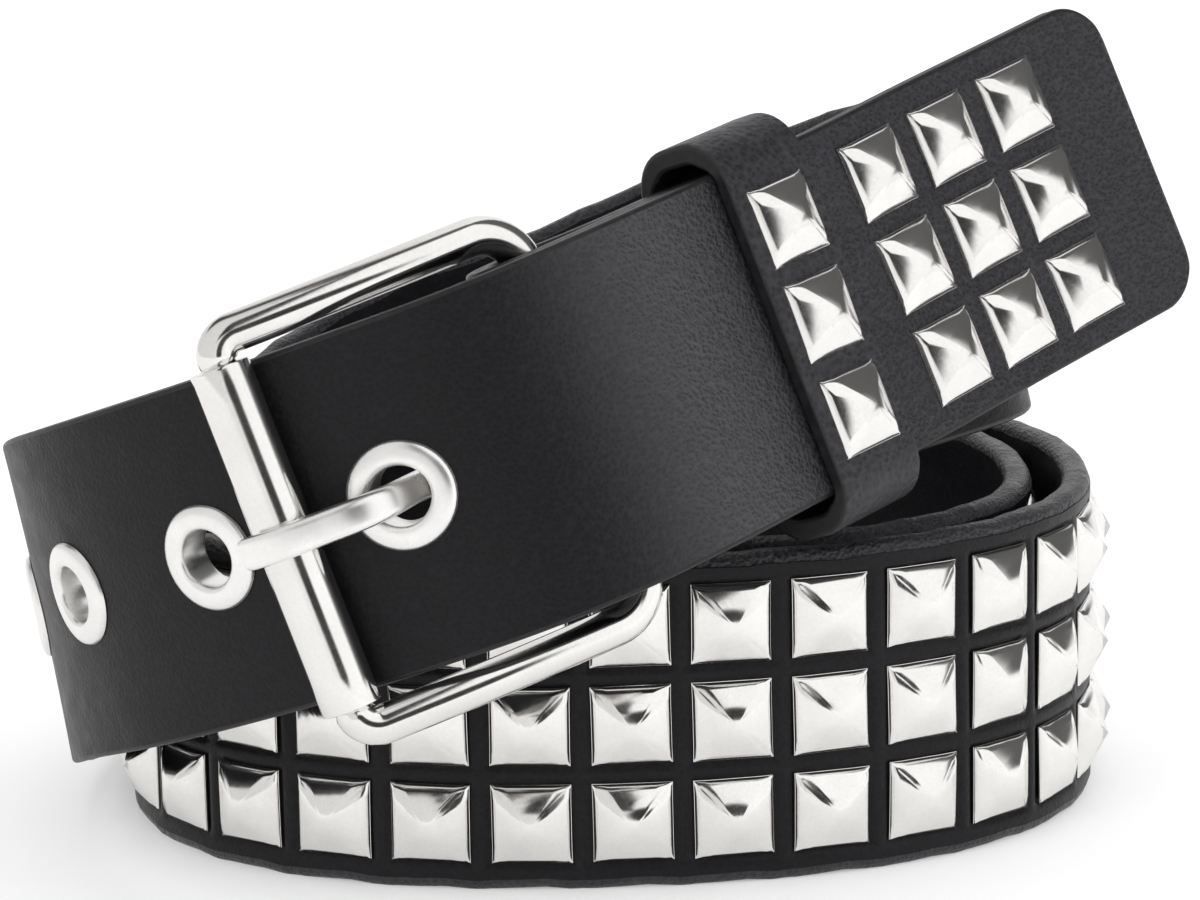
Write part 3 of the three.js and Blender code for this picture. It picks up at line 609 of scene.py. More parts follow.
def makeBand():
    runs = bandRuns()
    plain = bandSection(leather["edgeRound"], leather["groove"])
    turnedEdge = bandSection(leather["turnedRound"], 0.0)
    studded = smoothStep(runs, fieldFirst - 6, fieldFirst - 1) * (1 - smoothStep(
        runs, fieldLast + 1, fieldLast + 6))
    across = plain[:, 0][None] * (1 - studded[:, None]) + turnedEdge[:, 0][None] * studded[:, None]
    out = plain[:, 1][None] * (1 - studded[:, None]) + turnedEdge[:, 1][None] * studded[:, None]
    side = plain[:, 2]
    grid = np.broadcast_to(runs[:, None], across.shape)
    across = across * (halfAt(runs) / (band["wide"] / 2))[:, None]
    # leather swells between the studs and along the turned edges, and is pinched at each stud
    away = fromStud(grid, across, fieldFirst, stud["pitch"], stud["columns"])
    swell = np.where(away < 0, -leather["sink"], leather["puff"] * np.sin(
        np.clip(away / 1.125, 0, 1) * math.pi / 2) - leather["sink"] * (1 - np.clip(away / 0.3, 0, 1)))
    margin = smoothStep(np.abs(across), 15.75, 17.0) * (leather["margin"] - leather["puff"])
    out = out + (side == 1)[None] * studded[:, None] * (swell + margin)
    out = out + ((side == 2) & (plain[:, 1] > 0.3))[None] * studded[:, None] * leather["margin"] * 0.75
    inField = (runs > fieldFirst - 2) & (runs < fieldLast + 2)
    ripple = leather["wave"] * np.cos((runs - fieldFirst - stud["size"] / 2) * 2 * math.pi / stud["pitch"])
    ripple += leather["uneven"] * (np.sin(runs * 0.83) * np.sin(runs * 0.29 + 1) + 0.5 * np.sin(runs * 1.9))
    across = across - np.sign(across) * (np.abs(across) > 17) * (inField * studded * ripple)[:, None]
    # on the tip the leather is pressed in round each stud as well
    tipFirst = prongHole + stud["tipRun"] - stud["size"] / 2
    onTip = fromStud(grid, across, tipFirst, stud["tipPitch"], 3)
    nearTip = np.abs(grid - prongHole - stud["tipRun"] - stud["tipPitch"]) < leather["dentRun"]
    dent = leather["dent"] * np.exp(-np.clip(onTip, 0, 9) / leather["dentReach"]) * nearTip
    out = out - (side == 1)[None] * dent
    # ends: the cut edge is eased
    ease = np.minimum(1, 0.8 + 0.2 * np.minimum(runs, bandEnd - runs) / 0.6)
    out = out * ease[:, None]
    place, _, width, outward = route.frames(runs)
    risen = (across + riseAt(runs)[:, None])[..., None]
    vertices = place[:, None] + width[:, None] * risen + outward[:, None] * out[..., None]
    count = len(plain)
    faces = ringFaces(len(runs), count)
    uvs = np.stack([grid / 100, across / 100 + 0.5], axis=-1).reshape(-1, 2)
    slots = np.zeros(len(faces), dtype=int)
    cut = (side == 2)
    isEdge = cut & np.roll(cut, -1)
    for i in range(len(runs) - 1):
        slots[i * count:(i + 1) * count] = isEdge * (1 if studded[i] < 0.5 else 2)
    slots[-2:] = 1
    piece = finishMesh("strap_leather", vertices.reshape(-1, 3), faces,
                       [strapLeather, cutEdge, foldedLeather], uvs=uvs, faceSlots=slots, sharp=0)
    cutHoles(piece)
    piece.data.set_sharp_from_angle(angle=math.radians(38))
    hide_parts("strap")
    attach(piece, "root")
    print("band", len(piece.data.polygons), "faces")


# Holes for the eyelets and the slot for the prong's eye, cut in one go
def cutHoles(piece):
    radius = eyelet["bore"] / 2 + eyelet["barrel"] + band["clearance"]
    vertices, faces = [], []
    for run in eyeletRuns:
        base = len(vertices)
        for height in (-4.0, 4.0):
            for i in range(32):
                a = 2 * math.pi * i / 32
                vertices.append(route.point(run + radius * math.cos(a), radius * math.sin(a), height)[0])
        faces += [tuple(base + k for k in face) for face in ringFaces(2, 32)]
    half = buckle["slotWide"] / 2
    long = math.pi * foldRadius + 3 * (eyeInner + buckle["eyeWall"])
    corners = [(half, 2.6), (-half, 2.6), (-half, -2.6), (half, -2.6)]
    base = len(vertices)
    for step in np.linspace(-long / 2, long / 2, 25):
        vertices += [route.point(heelOnRoute + step, a, o)[0] for a, o in corners]
    faces += [tuple(base + k for k in face) for face in ringFaces(25, 4)]
    cutter = finishMesh("cutter", vertices, faces, [strapLeather], sharp=0)
    pointOutwards(cutter)
    boolean = piece.modifiers.new("holes", "BOOLEAN")
    boolean.operation, boolean.solver, boolean.object = "DIFFERENCE", "EXACT", cutter
    applyModifiers(piece)
    bpy.data.objects.remove(cutter, do_unlink=True)


def applyModifiers(piece):
    graph = bpy.context.evaluated_depsgraph_get()
    mesh = bpy.data.meshes.new_from_object(piece.evaluated_get(graph))
    piece.modifiers.clear()
    old, piece.data = piece.data, mesh
    bpy.data.meshes.remove(old)


# Studs

# stations run along a face from ridge to ridge; rings are (way to the apex, share of the swell)
press = {"bow": 0.08, "skirt": 0.35, "swell": 0.44, "rim": 0.06, "sunk": 0.12,
         "stations": (-1.0, -0.88, -0.64, 0.64, 0.88),
         "rings": ((0.0, 0.0), (0.07, 0.8), (0.16, 1.0), (0.5, 0.595), (1.0, 0.0)),
         "tilt": 0.02, "seed": 7}


# One pressed stud: a thin rim, a steep skirt that is highest at mid edge, crisp ridges to the apex
def unitStud():
    half, height = stud["size"] / 2, stud["height"] + press["sunk"]
    rims = [(1 + press["rim"] / half, 0.0), (1 + press["rim"] / half, 0.17),
            (1 + press["rim"] * 0.2 / half, 0.2)]
    rings = [(size, z, 0.0, 1.0) for size, z in rims]
    rings += [(1 - t, press["skirt"] + (height - press["skirt"]) * t, press["swell"] * share, (1 - t) ** 2)
              for t, share in press["rings"][:-1]]
    vertices, stations = [], press["stations"]
    for size, z, swell, bowed in rings:
        for quarter in range(4):
            a = quarter * math.pi / 2
            for p in stations:
                x, y = size * half - press["bow"] * bowed * (1 - p * p), p * size * half
                vertices.append((x * math.cos(a) - y * math.sin(a), x * math.sin(a) + y * math.cos(a),
                                 z + swell * (1 - abs(p) ** 6)))
    count = 4 * len(stations)
    faces = ringFaces(len(rings), count, caps=False)
    vertices.append((0, 0, height))
    last = (len(rings) - 1) * count
    faces += [(last + k, last + (k + 1) % count, len(vertices) - 1) for k in range(count)]
    faces.append(tuple(reversed(range(count))))
    mesh = bpy.data.meshes.new("studShape")
    mesh.from_pydata([tuple(c * mm for c in v) for v in vertices], [], faces)
    mesh.shade_smooth()
    mesh.set_sharp_from_angle(angle=math.radians(40))
    for edge in mesh.edges:
        a, b = sorted(edge.vertices)
        ridge = a % len(stations) == 0 and (b % len(stations) == 0) and b - a >= count
        if ridge:
            edge.use_edge_sharp = True
    shape = bpy.data.objects.new("studShape", mesh)
    return shape


# Geometry nodes: a stud on every point, turned by the point's own directions, a little uneven
def studTree(shape):
    tree = bpy.data.node_groups.new("pyramidStuds", "GeometryNodeTree")
    socket = tree.interface.new_socket
    socket("Geometry", in_out="INPUT", socket_type="NodeSocketGeometry")
    for name, kind, value in (("Size", "NodeSocketFloat", 1.0), ("Height", "NodeSocketFloat", 1.0),
                              ("Uneven", "NodeSocketFloat", press["tilt"]),
                              ("Seed", "NodeSocketInt", press["seed"]),
                              ("Material", "NodeSocketMaterial", None)):
        made = socket(name, in_out="INPUT", socket_type=kind)
        if value is not None:
            made.default_value = value
    socket("Geometry", in_out="OUTPUT", socket_type="NodeSocketGeometry")
    new, link = tree.nodes.new, tree.links.new
    into, done = new("NodeGroupInput"), new("NodeGroupOutput")
    points = new("GeometryNodeMeshToPoints")
    link(into.outputs["Geometry"], points.inputs["Mesh"])
    info = new("GeometryNodeObjectInfo")
    info.inputs["Object"].default_value = shape
    ways = []
    for name in ("wayAlong", "wayOut"):
        named = new("GeometryNodeInputNamedAttribute")
        named.data_type = "FLOAT_VECTOR"
        named.inputs["Name"].default_value = name
        ways.append(named.outputs["Attribute"])
    axes = new("FunctionNodeAxesToRotation")
    axes.primary_axis, axes.secondary_axis = "Z", "X"
    link(ways[1], axes.inputs["Primary Axis"])
    link(ways[0], axes.inputs["Secondary Axis"])
    scale = new("ShaderNodeCombineXYZ")
    link(into.outputs["Size"], scale.inputs["X"])
    link(into.outputs["Size"], scale.inputs["Y"])
    link(into.outputs["Height"], scale.inputs["Z"])
    put = new("GeometryNodeInstanceOnPoints")
    link(points.outputs["Points"], put.inputs["Points"])
    link(info.outputs["Geometry"], put.inputs["Instance"])
    link(axes.outputs["Rotation"], put.inputs["Rotation"])
    link(scale.outputs["Vector"], put.inputs["Scale"])
    chance = new("FunctionNodeRandomValue")
    chance.data_type = "FLOAT_VECTOR"
    chance.inputs["Min"].default_value = (-1, -1, -0.6)
    chance.inputs["Max"].default_value = (1, 1, 0.6)
    link(into.outputs["Seed"], chance.inputs["Seed"])
    tilt = new("ShaderNodeVectorMath")
    tilt.operation = "SCALE"
    link(chance.outputs["Value"], tilt.inputs["Vector"])
    link(into.outputs["Uneven"], tilt.inputs["Scale"])
    turn = new("GeometryNodeRotateInstances")
    link(put.outputs["Instances"], turn.inputs["Instances"])
    link(tilt.outputs["Vector"], turn.inputs["Rotation"])
    real = new("GeometryNodeRealizeInstances")
    link(turn.outputs["Instances"], real.inputs["Geometry"])
    paint = new("GeometryNodeSetMaterial")
    link(real.outputs["Geometry"], paint.inputs["Geometry"])
    link(into.outputs["Material"], paint.inputs["Material"])
    link(paint.outputs["Geometry"], done.inputs["Geometry"])
    return tree


def makeStuds(name, runs, across, outs, tree, values, nodes):
    place, along, width, out = route.frames(runs)
    seats = place + width * (across + riseAt(runs))[:, None] + out * np.asarray(outs)[:, None]
    mesh = bpy.data.meshes.new(name)
    mesh.from_pydata([tuple(v) for v in (seats + shift) * mm], [], [])
    for key, ways in (("wayAlong", along), ("wayOut", out)):
        layer = mesh.attributes.new(key, "FLOAT_VECTOR", "POINT")
        layer.data.foreach_set("vector", ways.astype(np.float32).ravel())
    piece = addObject(name, mesh)
    modifier = piece.modifiers.new("studs", "NODES")
    modifier.node_group = tree
    for item in tree.interface.items_tree:
        if item.in_out == "INPUT" and item.name in values:
            modifier[item.identifier] = values[item.name]
    applyModifiers(piece)
    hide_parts(*nodes)
    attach(piece, "root")
    print(name, len(piece.data.polygons), "faces")
    return piece


def makeAllStuds():
    shape = unitStud()
    tree = studTree(shape)
    values = {"Size": 1.0, "Height": 1.0, "Uneven": press["tilt"], "Seed": press["seed"],
              "Material": studNickel}
    face = band["thick"] / 2 - press["sunk"]
    runs = [fieldFirst + stud["size"] / 2 + c * stud["pitch"] for c in range(stud["columns"])]
    makeStuds("field_studs", np.repeat(runs, 3), np.tile(rowOffsets, len(runs)),
              np.full(3 * len(runs), face), tree, values, ["stud_field"])
    runs = [prongHole + stud["tipRun"] + c * stud["tipPitch"] for c in range(3)]
    makeStuds("tip_studs", np.repeat(runs, 3), np.tile(rowOffsets, 3), np.full(9, face), tree,
              {**values, "Seed": 3}, [f"tip_stud_{c}{r}" for c in (1, 2, 3) for r in "abc"])
    middle = prongHole + loop["run"] + loop["wide"] / 2
    makeStuds("keeper_studs", np.full(3, middle), rowOffsets, np.full(3, loopFront - press["sunk"]),
              tree, {**values, "Seed": 5}, ["keeper_stud_a", "keeper_stud_b", "keeper_stud_c"])
    bpy.data.objects.remove(shape, do_unlink=True)


# The loop that holds the tip

loopFront = band["thick"] / 2 + band["clearance"] + loop["wall"]


def roundedPath(left, right, low, high, radius, steps):
    points = []
    for cx, cy, start in ((right - radius, low + radius, -90), (right - radius, high - radius, 0),
                          (left + radius, high - radius, 90), (left + radius, low + radius, 180)):
        points += [(cx + radius * math.cos(math.radians(start + 90 * k / steps)),
                    cy + radius * math.sin(math.radians(start + 90 * k / steps)))
                   for k in range(steps + 1)]
    return np.array(points)


def makeKeeper():
    half = band["wide"] / 2 + loop["room"] + loop["wall"]
    back = flapDepth - band["thick"] / 2 - band["clearance"] - loop["wall"]
    outline = roundedPath(-half, half, back, loopFront, loop["corner"], 10)
    dense = []
    for a, b in zip(outline, np.roll(outline, -1, axis=0)):
        pieces = max(1, round(np.linalg.norm(b - a) / 2.2))
        dense += [a + (b - a) * k / pieces for k in range(pieces)]
    dense = np.array(dense)
    tangent = unit(np.roll(dense, -1, axis=0) - np.roll(dense, 1, axis=0))
    inward = np.stack([-tangent[:, 1], tangent[:, 0]], axis=1)
    r, wall, wide = 0.4, loop["wall"], loop["wide"]
    arc = [math.radians(90 * k / 4) for k in range(5)]
    section = [(r - r * math.cos(a), r - r * math.sin(a)) for a in arc]  # (along, depth), outer face first
    section += [(x, 0.0) for x in np.linspace(0.8, wide - 0.8, 8)]
    section += [(wide - r + r * math.sin(a), r - r * math.cos(a)) for a in arc]
    section += [(wide - 0.1, wall * 0.5)]
    section += [(wide - r + r * math.cos(a), wall - r + r * math.sin(a)) for a in arc]
    section += [(x, wall) for x in np.linspace(wide - 1.5, 1.5, 5)]
    section += [(r - r * math.sin(a), wall - r + r * math.cos(a)) for a in arc]
    section += [(0.1, wall * 0.5)]
    start = prongHole + loop["run"]
    vertices, uvs = [], []
    for (across, out), way in zip(dense, inward):
        # the leather is stretched thicker round the bends
        thicker = 1 + 0.36 * smoothStep(abs(across), band["wide"] / 2 + 0.3, half - 1.2)
        belly = 0.18 * math.cos(min(1, abs(across) / half) * math.pi / 2)
        for along, depth in section:
            crown = belly * math.sin(math.pi * min(1, max(0, along / wide))) * (1 if depth < 0.3 else 0)
            crown = crown if out > 0 else 0
            depth = depth * thicker
            vertices.append(route.point(start + along, across + way[0] * (depth - crown),
                                        out + way[1] * (depth - crown))[0])
            uvs.append((along / 100, (across + out) / 100))
    count = len(section)
    faces = ringFaces(len(dense), count, closeRings=True)
    depths = np.array([d for _, d in section])
    alongs = np.array([a for a, _ in section])
    isEdge = ((alongs < r * 0.6) | (alongs > wide - r * 0.6))
    slots = [int(isEdge[k] and isEdge[(k + 1) % count]) for _ in range(len(dense)) for k in range(count)]
    piece = finishMesh("keeper_loop", vertices, faces, [loopLeather, cutEdge], uvs=uvs,
                       faceSlots=slots, sharp=0)
    pointOutwards(piece)
    piece.data.set_sharp_from_angle(angle=math.radians(45))
    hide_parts("keeper")
    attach(piece, "root")
    print("keeper", len(piece.data.polygons), "faces")


# Eyelets: a rolled rim in front, a barrel through the band and a spread flange behind

def makeEyelets():
    bore, rim = eyelet["bore"] / 2, eyelet["outer"] / 2
    face, lip = band["thick"] / 2 - 0.03, eyelet["lip"]
    profile = [(rim - 0.1, face - 0.05), (rim, face + 0.14), (rim - 0.1, face + 0.34)]
    profile += [(rim - 0.1 - (rim - bore - 0.75) * (1 - math.cos(math.radians(a))) ,
                 face + 0.34 + (lip - 0.34) * math.sin(math.radians(a))) for a in (18, 38, 58, 76, 90)]
    profile += [(bore + 0.65 - 0.65 * math.sin(math.radians(a)),
                 face + lip - 0.65 * (1 - math.cos(math.radians(a)))) for a in (30, 60, 90)]
    profile += [(bore, 0.0), (bore, -face - 0.05)]
    profile += [(bore + 0.5 - 0.5 * math.cos(math.radians(a)),
                 -face - 0.05 - eyelet["back"] * math.sin(math.radians(a))) for a in (35, 70, 90)]
    profile += [(rim - 1.2, -face - 0.5), (rim - 0.75, -face - 0.2), (rim - 0.8, -face + 0.04),
                (bore + eyelet["barrel"], -face + 0.06), (bore + eyelet["barrel"], face - 0.08)]
    for i, run in enumerate(eyeletRuns):
        piece = turned(f"eyelet_ring_{i + 1}", profile, 48,
                       lambda x, y, h: route.point(run + x, y, h)[0], satinNickel)
        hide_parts(f"eyelet_{i + 1}")
        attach(piece, "root")


# The buckle

def onBuckle(along, across, out):
    return rollerCentre + buckleAlong * along + buckleWidth * across + buckleOut * out


def barPath():
    half, reach = (buckle["inside"] + buckle["bar"]) / 2, buckle["reach"]
    heel, near = buckle["heelCorner"], buckle["rollerCorner"]
    points = [(0, y) for y in np.linspace(0, half - near, 10)[:-1]]
    points += [(near - near * math.cos(a), half - near + near * math.sin(a))
               for a in np.radians(np.arange(0, 90, 10))]
    points += [(x, half) for x in np.linspace(near, reach - heel, 24)[:-1]]
    points += [(reach - heel + heel * math.sin(a), half - heel + heel * math.cos(a))
               for a in np.radians(np.arange(0, 90, 7.5))]
    points += [(reach, y) for y in np.linspace(half - heel, 0, 12)[:-1]]
    points = np.array(points)
    mirror = points[1:][::-1] * [1, -1]
    return np.vstack([points, [(reach, 0)], mirror])


def makeFrame():
    path = barPath()
    tangent = unit(np.roll(path, -1, axis=0) - np.roll(path, 1, axis=0))
    inside = buckle["inside"] / 2
    vertices, sides = [], 28
    for (x, y), (tx, ty) in zip(path, tangent):
        sink = np.clip((abs(y) - inside + 0.9) / 0.8, 0, 1) if x < buckle["rollerCorner"] * 0.4 else 1
        radius = (buckle["axle"] + (buckle["bar"] - buckle["axle"]) * sink) / 2
        bow = buckle["arch"] * (1 - (2 * x / buckle["reach"] - 1) ** 2)
        for k in range(sides):
            a = 2 * math.pi * k / sides
            side, up = math.cos(a), math.sin(a)
            # cast bar: round in front, a little flattened behind
            up = np.sign(up) * abs(up) ** (1.0 if up > 0 else 0.85)
            vertices.append(onBuckle(x + ty * side * radius, y - tx * side * radius, bow + up * radius))
    faces = ringFaces(len(path), sides, closeRings=True)
    piece = finishMesh("buckle_bar", vertices, faces, [buckleNickel], sharp=0)
    pointOutwards(piece)
    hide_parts("buckle_frame")
    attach(piece, "root")


def makeRoller():
    bore, outer = buckle["rollerBore"] / 2, buckle["rollerOuter"] / 2
    half = buckle["inside"] / 2 - 2 * band["clearance"]
    ends = [(outer - 0.22, half), (outer - 0.06, half - 0.06), (outer, half - 0.24)]
    middle = [(outer, half * s) for s in (0.8, 0.4, 0.0, -0.4, -0.8)]
    profile = [(bore, half - 0.15), (bore + 0.12, half)] + ends + middle
    profile += [(r, -h) for r, h in reversed(ends)] + [(bore + 0.12, -half), (bore, 0.15 - half)]
    profile += [(bore, -half * 0.5), (bore, half * 0.5)]
    piece = turned("roller_tube", profile, 56, lambda x, y, h: onBuckle(x, h, y), buckleNickel)
    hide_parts("roller")
    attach(piece, "root")


# A smooth line through the points, spaced by the root of their distances
def throughPoints(points, count):
    s = np.concatenate([[0], np.cumsum(np.sqrt(np.linalg.norm(np.diff(points, axis=0), axis=1)))])
    return naturalCubic(s, points)(np.linspace(0, s[-1], count))


def makeProng():
    rest = rollerDepth + buckle["rollerOuter"] / 2 + 1.3 * band["clearance"] + buckle["prongTip"] / 2
    lip = band["thick"] / 2 + eyelet["seat"] + 0.9
    wide, thick, thin = buckle["prongWide"], buckle["prongThick"], buckle["prongTip"]
    toRoller = buckle["rollerRun"]
    # run from the prong's hole, depth before the band, thickness and width
    rows = [(heelRun - eyeInner - buckle["eyeWall"] / 2, heelDepth, thick, wide),
            (0.55 * heelRun, 0.97 * heelDepth, thick, wide), (0.3 * heelRun, 0.84 * heelDepth, thick, wide),
            (0.14 * heelRun, 0.62 * heelDepth, thick, wide), (0.06 * heelRun, 0.36 * heelDepth, thick, wide),
            (0, 0, thick, wide), (0.08 * toRoller, 1.02 * lip, thick, 1.04 * wide),
            (0.19 * toRoller, 1.72 * lip, thick, 1.08 * wide),
            (0.36 * toRoller, 0.65 * rest, thick, 1.1 * wide),
            (0.62 * toRoller, 0.79 * rest, thick, 1.1 * wide),
            (0.84 * toRoller, 0.95 * rest, 0.8 * thick, 1.1 * wide), (toRoller, rest, thin, 1.1 * wide),
            (1.2 * toRoller, 0.98 * rest, thin, 1.1 * wide)]
    places = np.array([route.point(prongHole + row[0], 0, row[1])[0] for row in rows])
    steps = 72
    both = throughPoints(np.hstack([places, np.array([row[2:] for row in rows])]), steps)
    line, thickness, widths = both[:, :3], np.clip(both[:, 3], thin, thick), both[:, 4]
    tangent = unit(np.gradient(line, axis=0))
    vertices, sides = [], 32
    for i in range(steps):
        up = unit(np.cross(tangent[i], buckleWidth))
        end = 1 - 0.12 * max(0, 1 - (steps - 1 - i) / 1.2) - 0.25 * max(0, 1 - i / 1.5)
        for k in range(sides):
            a = 2 * math.pi * k / sides
            p, q = math.cos(a), math.sin(a)
            p, q = np.sign(p) * abs(p) ** 0.5, np.sign(q) * abs(q) ** 0.55
            vertices.append(line[i] + buckleWidth * p * widths[i] / 2 * end + up * q * thickness[i] / 2 * end)
    shank = finishMesh("shank", vertices, ringFaces(steps, sides), [satinNickel], sharp=50)
    pointOutwards(shank)
    half, inner, outer, r = wide / 2, eyeInner, eyeInner + buckle["eyeWall"], 0.45
    profile = [(inner, -half + r), (inner + r, -half), (outer - r, -half), (outer - r * 0.3, -half + r * 0.3),
               (outer, r - half), (outer, half - r), (outer - r * 0.3, half - r * 0.3), (outer - r, half),
               (inner + r, half), (inner, half - r)]
    place = lambda x, y, h: heelPlace + buckleAlong * x + buckleWidth * h + buckleOut * y
    eye = turned("eye", profile, 40, place, satinNickel)
    piece = joinPieces("prong_pin", [shank, eye])
    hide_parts("prong")
    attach(piece, "root")


makeBand()
makeKeeper()
makeAllStuds()
makeEyelets()
makeFrame()
makeRoller()
makeProng()
print("pieces made")


# Stage, light and camera

stage = {"floor": 6.0, "floorTone": (0.64, 0.64, 0.64), "floorGlow": 0.36, "mirrorLeft": (0.50, 0.495, 0.49),
         "mirrorRight": (0.60, 0.60, 0.60), "sky": 1.06, "gapTurn": -5.0, "gapWide": 10.0, "gapDark": 0.03,
         "gapFrom": (0.34, 0.42), "boxLeft": -112.0, "boxRight": 86.0, "boxEdge": 7, "beyondBoxes": 0.1,
         "leftFrom": (0.42, 0.56), "leftBack": (-157, -145), "rightFrom": (0.06, 0.16),
         "rightBack": (148, 160), "topFrom": (0.975, 0.99), "patchTurn": 17.0, "patchRise": 13.0,
         "patchWide": 17.0, "patchHigh": 15.0}


def makeStage():
    side = stage["floor"]
    mesh = bpy.data.meshes.new("floor")
    corners = [(-side, -side, 0), (side, -side, 0), (side, side, 0), (-side, side, 0)]
    mesh.from_pydata(corners, [], [(0, 1, 2, 3)])
    floor = addObject("floor", mesh)
    material, tree, shader = newMaterial("floorPaper")
    # mirrors see the floor a little greyer, more so on the left
    split = addNode(tree, "ShaderNodeSeparateXYZ")
    tree.links.new(addNode(tree, "ShaderNodeNewGeometry").outputs["Position"], split.inputs["Vector"])
    greyer = ramp(tree, mathNode(tree, "MULTIPLY_ADD", split.outputs["X"], 3.0, 0.5),
                  [(0.0, stage["mirrorLeft"]), (1.0, stage["mirrorRight"])])
    tones = addNode(tree, "ShaderNodeMix", data_type="RGBA")
    tree.links.new(addNode(tree, "ShaderNodeLightPath").outputs["Is Glossy Ray"], tones.inputs["Factor"])
    tones.inputs[6].default_value = (*stage["floorTone"], 1)
    tree.links.new(greyer, tones.inputs[7])
    tree.links.new(tones.outputs[2], shader.inputs["Base Color"])
    shader.inputs["Roughness"].default_value = 0.9
    shader.inputs["Specular IOR Level"].default_value = 0.1
    # the floor glows a little, painted light that keeps the shadows on it light
    shader.inputs["Emission Color"].default_value = (1, 1, 1, 1)
    shader.inputs["Emission Strength"].default_value = stage["floorGlow"]
    mesh.materials.append(material)


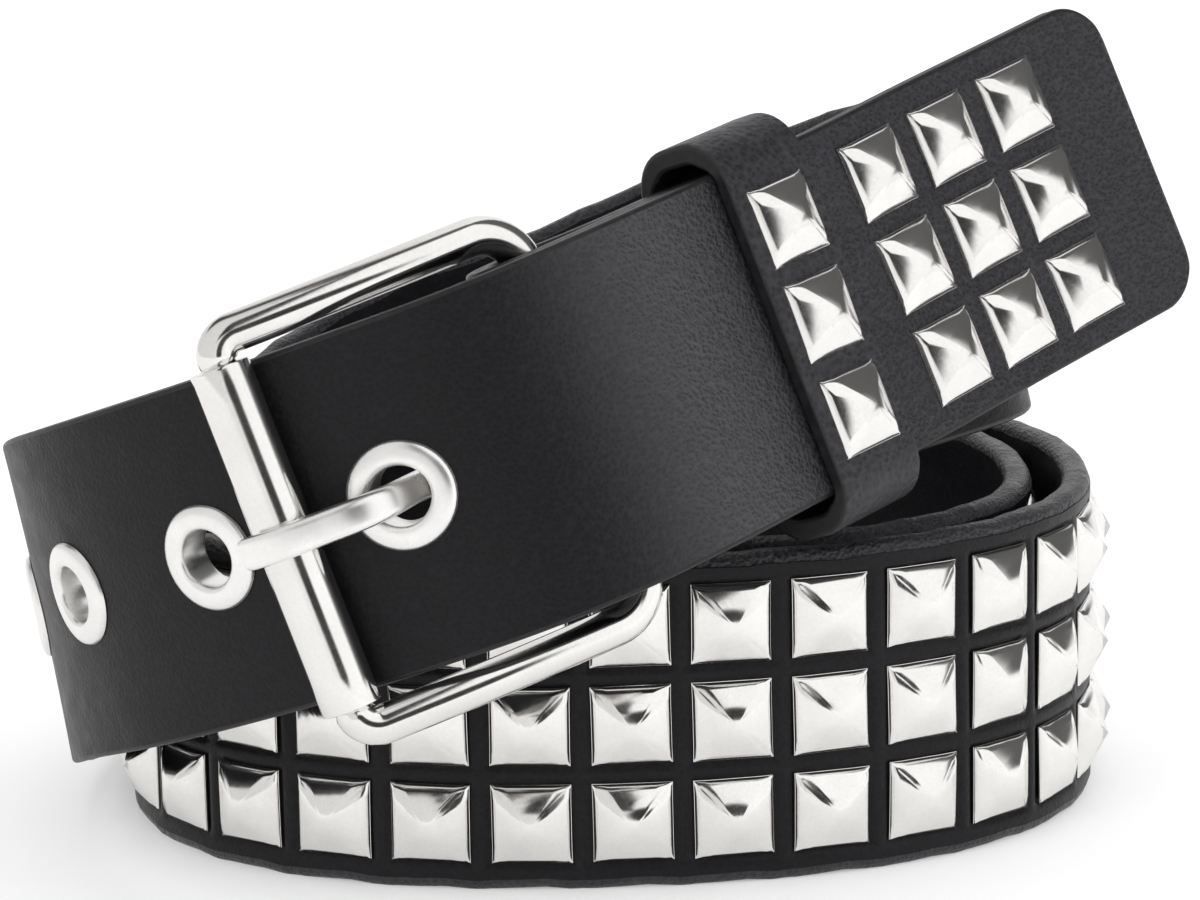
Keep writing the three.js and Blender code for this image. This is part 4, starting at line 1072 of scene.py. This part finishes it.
# A bright studio: what mirrors see of it is dark between the two overhead boxes, above and behind
# the camera, and beyond their ends; everything else sees it plain
def makeWorld():
    world = bpy.data.worlds.new("studio")
    bpy.context.scene.world = world
    world.use_nodes = True
    tree = world.node_tree
    link = tree.links.new
    background = tree.nodes["Background"]
    way = addNode(tree, "ShaderNodeTexCoord").outputs["Generated"]
    split = addNode(tree, "ShaderNodeSeparateXYZ")
    link(way, split.inputs["Vector"])
    turn = mathNode(tree, "ARCTAN2", split.outputs["X"], mathNode(tree, "MULTIPLY", split.outputs["Y"], -1.0))
    rise = split.outputs["Z"]
    # light grey on the left, white on the right
    sides = ramp(tree, mathNode(tree, "MULTIPLY_ADD", turn, 0.159, 0.5),
                 [(0.0, (0.95, 0.95, 0.95)), (0.14, (0.72, 0.715, 0.71)), (0.47, (0.80, 0.795, 0.79)),
                  (0.54, (1.05, 1.05, 1.05)), (0.72, (1.12, 1.12, 1.12)), (1.0, (0.95, 0.95, 0.95))])
    # the strip between the boxes
    off = mathNode(tree, "ABSOLUTE", mathNode(tree, "SUBTRACT", turn, math.radians(stage["gapTurn"])))
    overhead = easedStep(tree, rise, *stage["gapFrom"])
    strip = mathNode(tree, "SUBTRACT", 1.0, easedStep(tree, off, math.radians(stage["gapWide"] * 0.85),
                                                      math.radians(stage["gapWide"] * 1.15)))
    strip = mathNode(tree, "MULTIPLY", strip, overhead)
    # whoever stands behind the camera
    aside = mathNode(tree, "SUBTRACT", turn, math.radians(stage["patchTurn"]))
    aside = mathNode(tree, "DIVIDE", aside, math.radians(stage["patchWide"]))
    aloft = mathNode(tree, "SUBTRACT", rise, math.sin(math.radians(stage["patchRise"])))
    aloft = mathNode(tree, "DIVIDE", aloft, math.radians(stage["patchHigh"]))
    spread = mathNode(tree, "ADD", mathNode(tree, "MULTIPLY", aside, aside),
                      mathNode(tree, "MULTIPLY", aloft, aloft))
    patch = mathNode(tree, "SUBTRACT", 1.0, easedStep(tree, spread, 0.6, 1.4))
    # beyond the boxes' ends, lower on the right, and overhead
    pastTurn = lambda low, high: easedStep(tree, turn, math.radians(low), math.radians(high))
    edge = stage["boxEdge"]
    left = mathNode(tree, "SUBTRACT", 1.0, pastTurn(stage["boxLeft"] - edge, stage["boxLeft"] + edge))
    left = mathNode(tree, "MULTIPLY", left, easedStep(tree, rise, *stage["leftFrom"]))
    left = mathNode(tree, "MULTIPLY", left, pastTurn(*stage["leftBack"]))
    right = pastTurn(stage["boxRight"] - edge, stage["boxRight"] + edge)
    right = mathNode(tree, "MULTIPLY", right, mathNode(tree, "SUBTRACT", 1.0, pastTurn(*stage["rightBack"])))
    right = mathNode(tree, "MULTIPLY", right, easedStep(tree, rise, *stage["rightFrom"]))
    ends = mathNode(tree, "MAXIMUM", mathNode(tree, "MAXIMUM", left, right),
                    easedStep(tree, rise, *stage["topFrom"]))
    dark = mathNode(tree, "MAXIMUM", strip, patch)
    bright = mathNode(tree, "MULTIPLY_ADD", dark, stage["gapDark"] - 1, 1.0)
    bright = mathNode(tree, "MULTIPLY", bright,
                      mathNode(tree, "MULTIPLY_ADD", ends, stage["beyondBoxes"] - 1, 1.0))
    mirrored = addNode(tree, "ShaderNodeLightPath").outputs["Is Glossy Ray"]
    color = addNode(tree, "ShaderNodeVectorMath", operation="SCALE")
    link(sides, color.inputs["Vector"])
    link(bright, color.inputs["Scale"])
    seen = addNode(tree, "ShaderNodeMix", data_type="RGBA")
    link(mirrored, seen.inputs["Factor"])
    seen.inputs[6].default_value = (*(stage["sky"],) * 3, 1)
    link(color.outputs["Vector"], seen.inputs[7])
    link(seen.outputs[2], background.inputs["Color"])


# Soft boxes: place and size in metres, power in watts
softBoxes = [
    {"name": "leftBox", "at": (-0.75, -0.55, 0.55), "size": 0.7, "power": 2.0},
    {"name": "rightBox", "at": (0.8, -0.35, 0.45), "size": 0.6, "power": 1.5},
    {"name": "backBox", "at": (0.1, 0.8, 0.75), "size": 0.9, "power": 2.0}]


def makeLights():
    for box in softBoxes:
        light = bpy.data.lights.new(box["name"], "AREA")
        light.shape, light.size, light.energy = "SQUARE", box["size"], box["power"]
        lamp = addObject(box["name"], light)
        lamp.location = box["at"]
        lamp.visible_glossy = False
        lamp.rotation_euler = (Vector((0, 0, 0.04)) - Vector(box["at"])).to_track_quat("-Z", "Y").to_euler()


view = {"lens": 150.0, "sensor": 36.0, "rise": 11.63, "roll": -1.20, "far": 626.0,
        "aim": (-0.6, 23.1, 35.7)}


def makeCamera():
    rise, roll = math.radians(view["rise"]), math.radians(view["roll"])
    ahead = np.array([0, math.cos(rise), -math.sin(rise)])
    right, up = np.array([1.0, 0, 0]), np.array([0, math.sin(rise), math.cos(rise)])
    place = (np.array(view["aim"]) - view["far"] * ahead + [shift[0], shift[1], 0]) * mm
    across = right * math.cos(roll) + up * math.sin(roll)
    upward = up * math.cos(roll) - right * math.sin(roll)
    camera = addObject("camera", bpy.data.cameras.new("camera"))
    camera.matrix_world = Matrix([(*row, p) for row, p in zip(
        np.stack([across, upward, -ahead], axis=1), place)] + [(0, 0, 0, 1)])
    camera.data.lens, camera.data.sensor_width = view["lens"], view["sensor"]
    camera.data.clip_start, camera.data.clip_end = 0.01, 50
    bpy.context.scene.camera = camera


makeStage()
makeWorld()
makeLights()
makeCamera()
bpy.context.scene.view_settings.view_transform = "Standard"
print("stage ready")

bpy.context.view_layer.update()
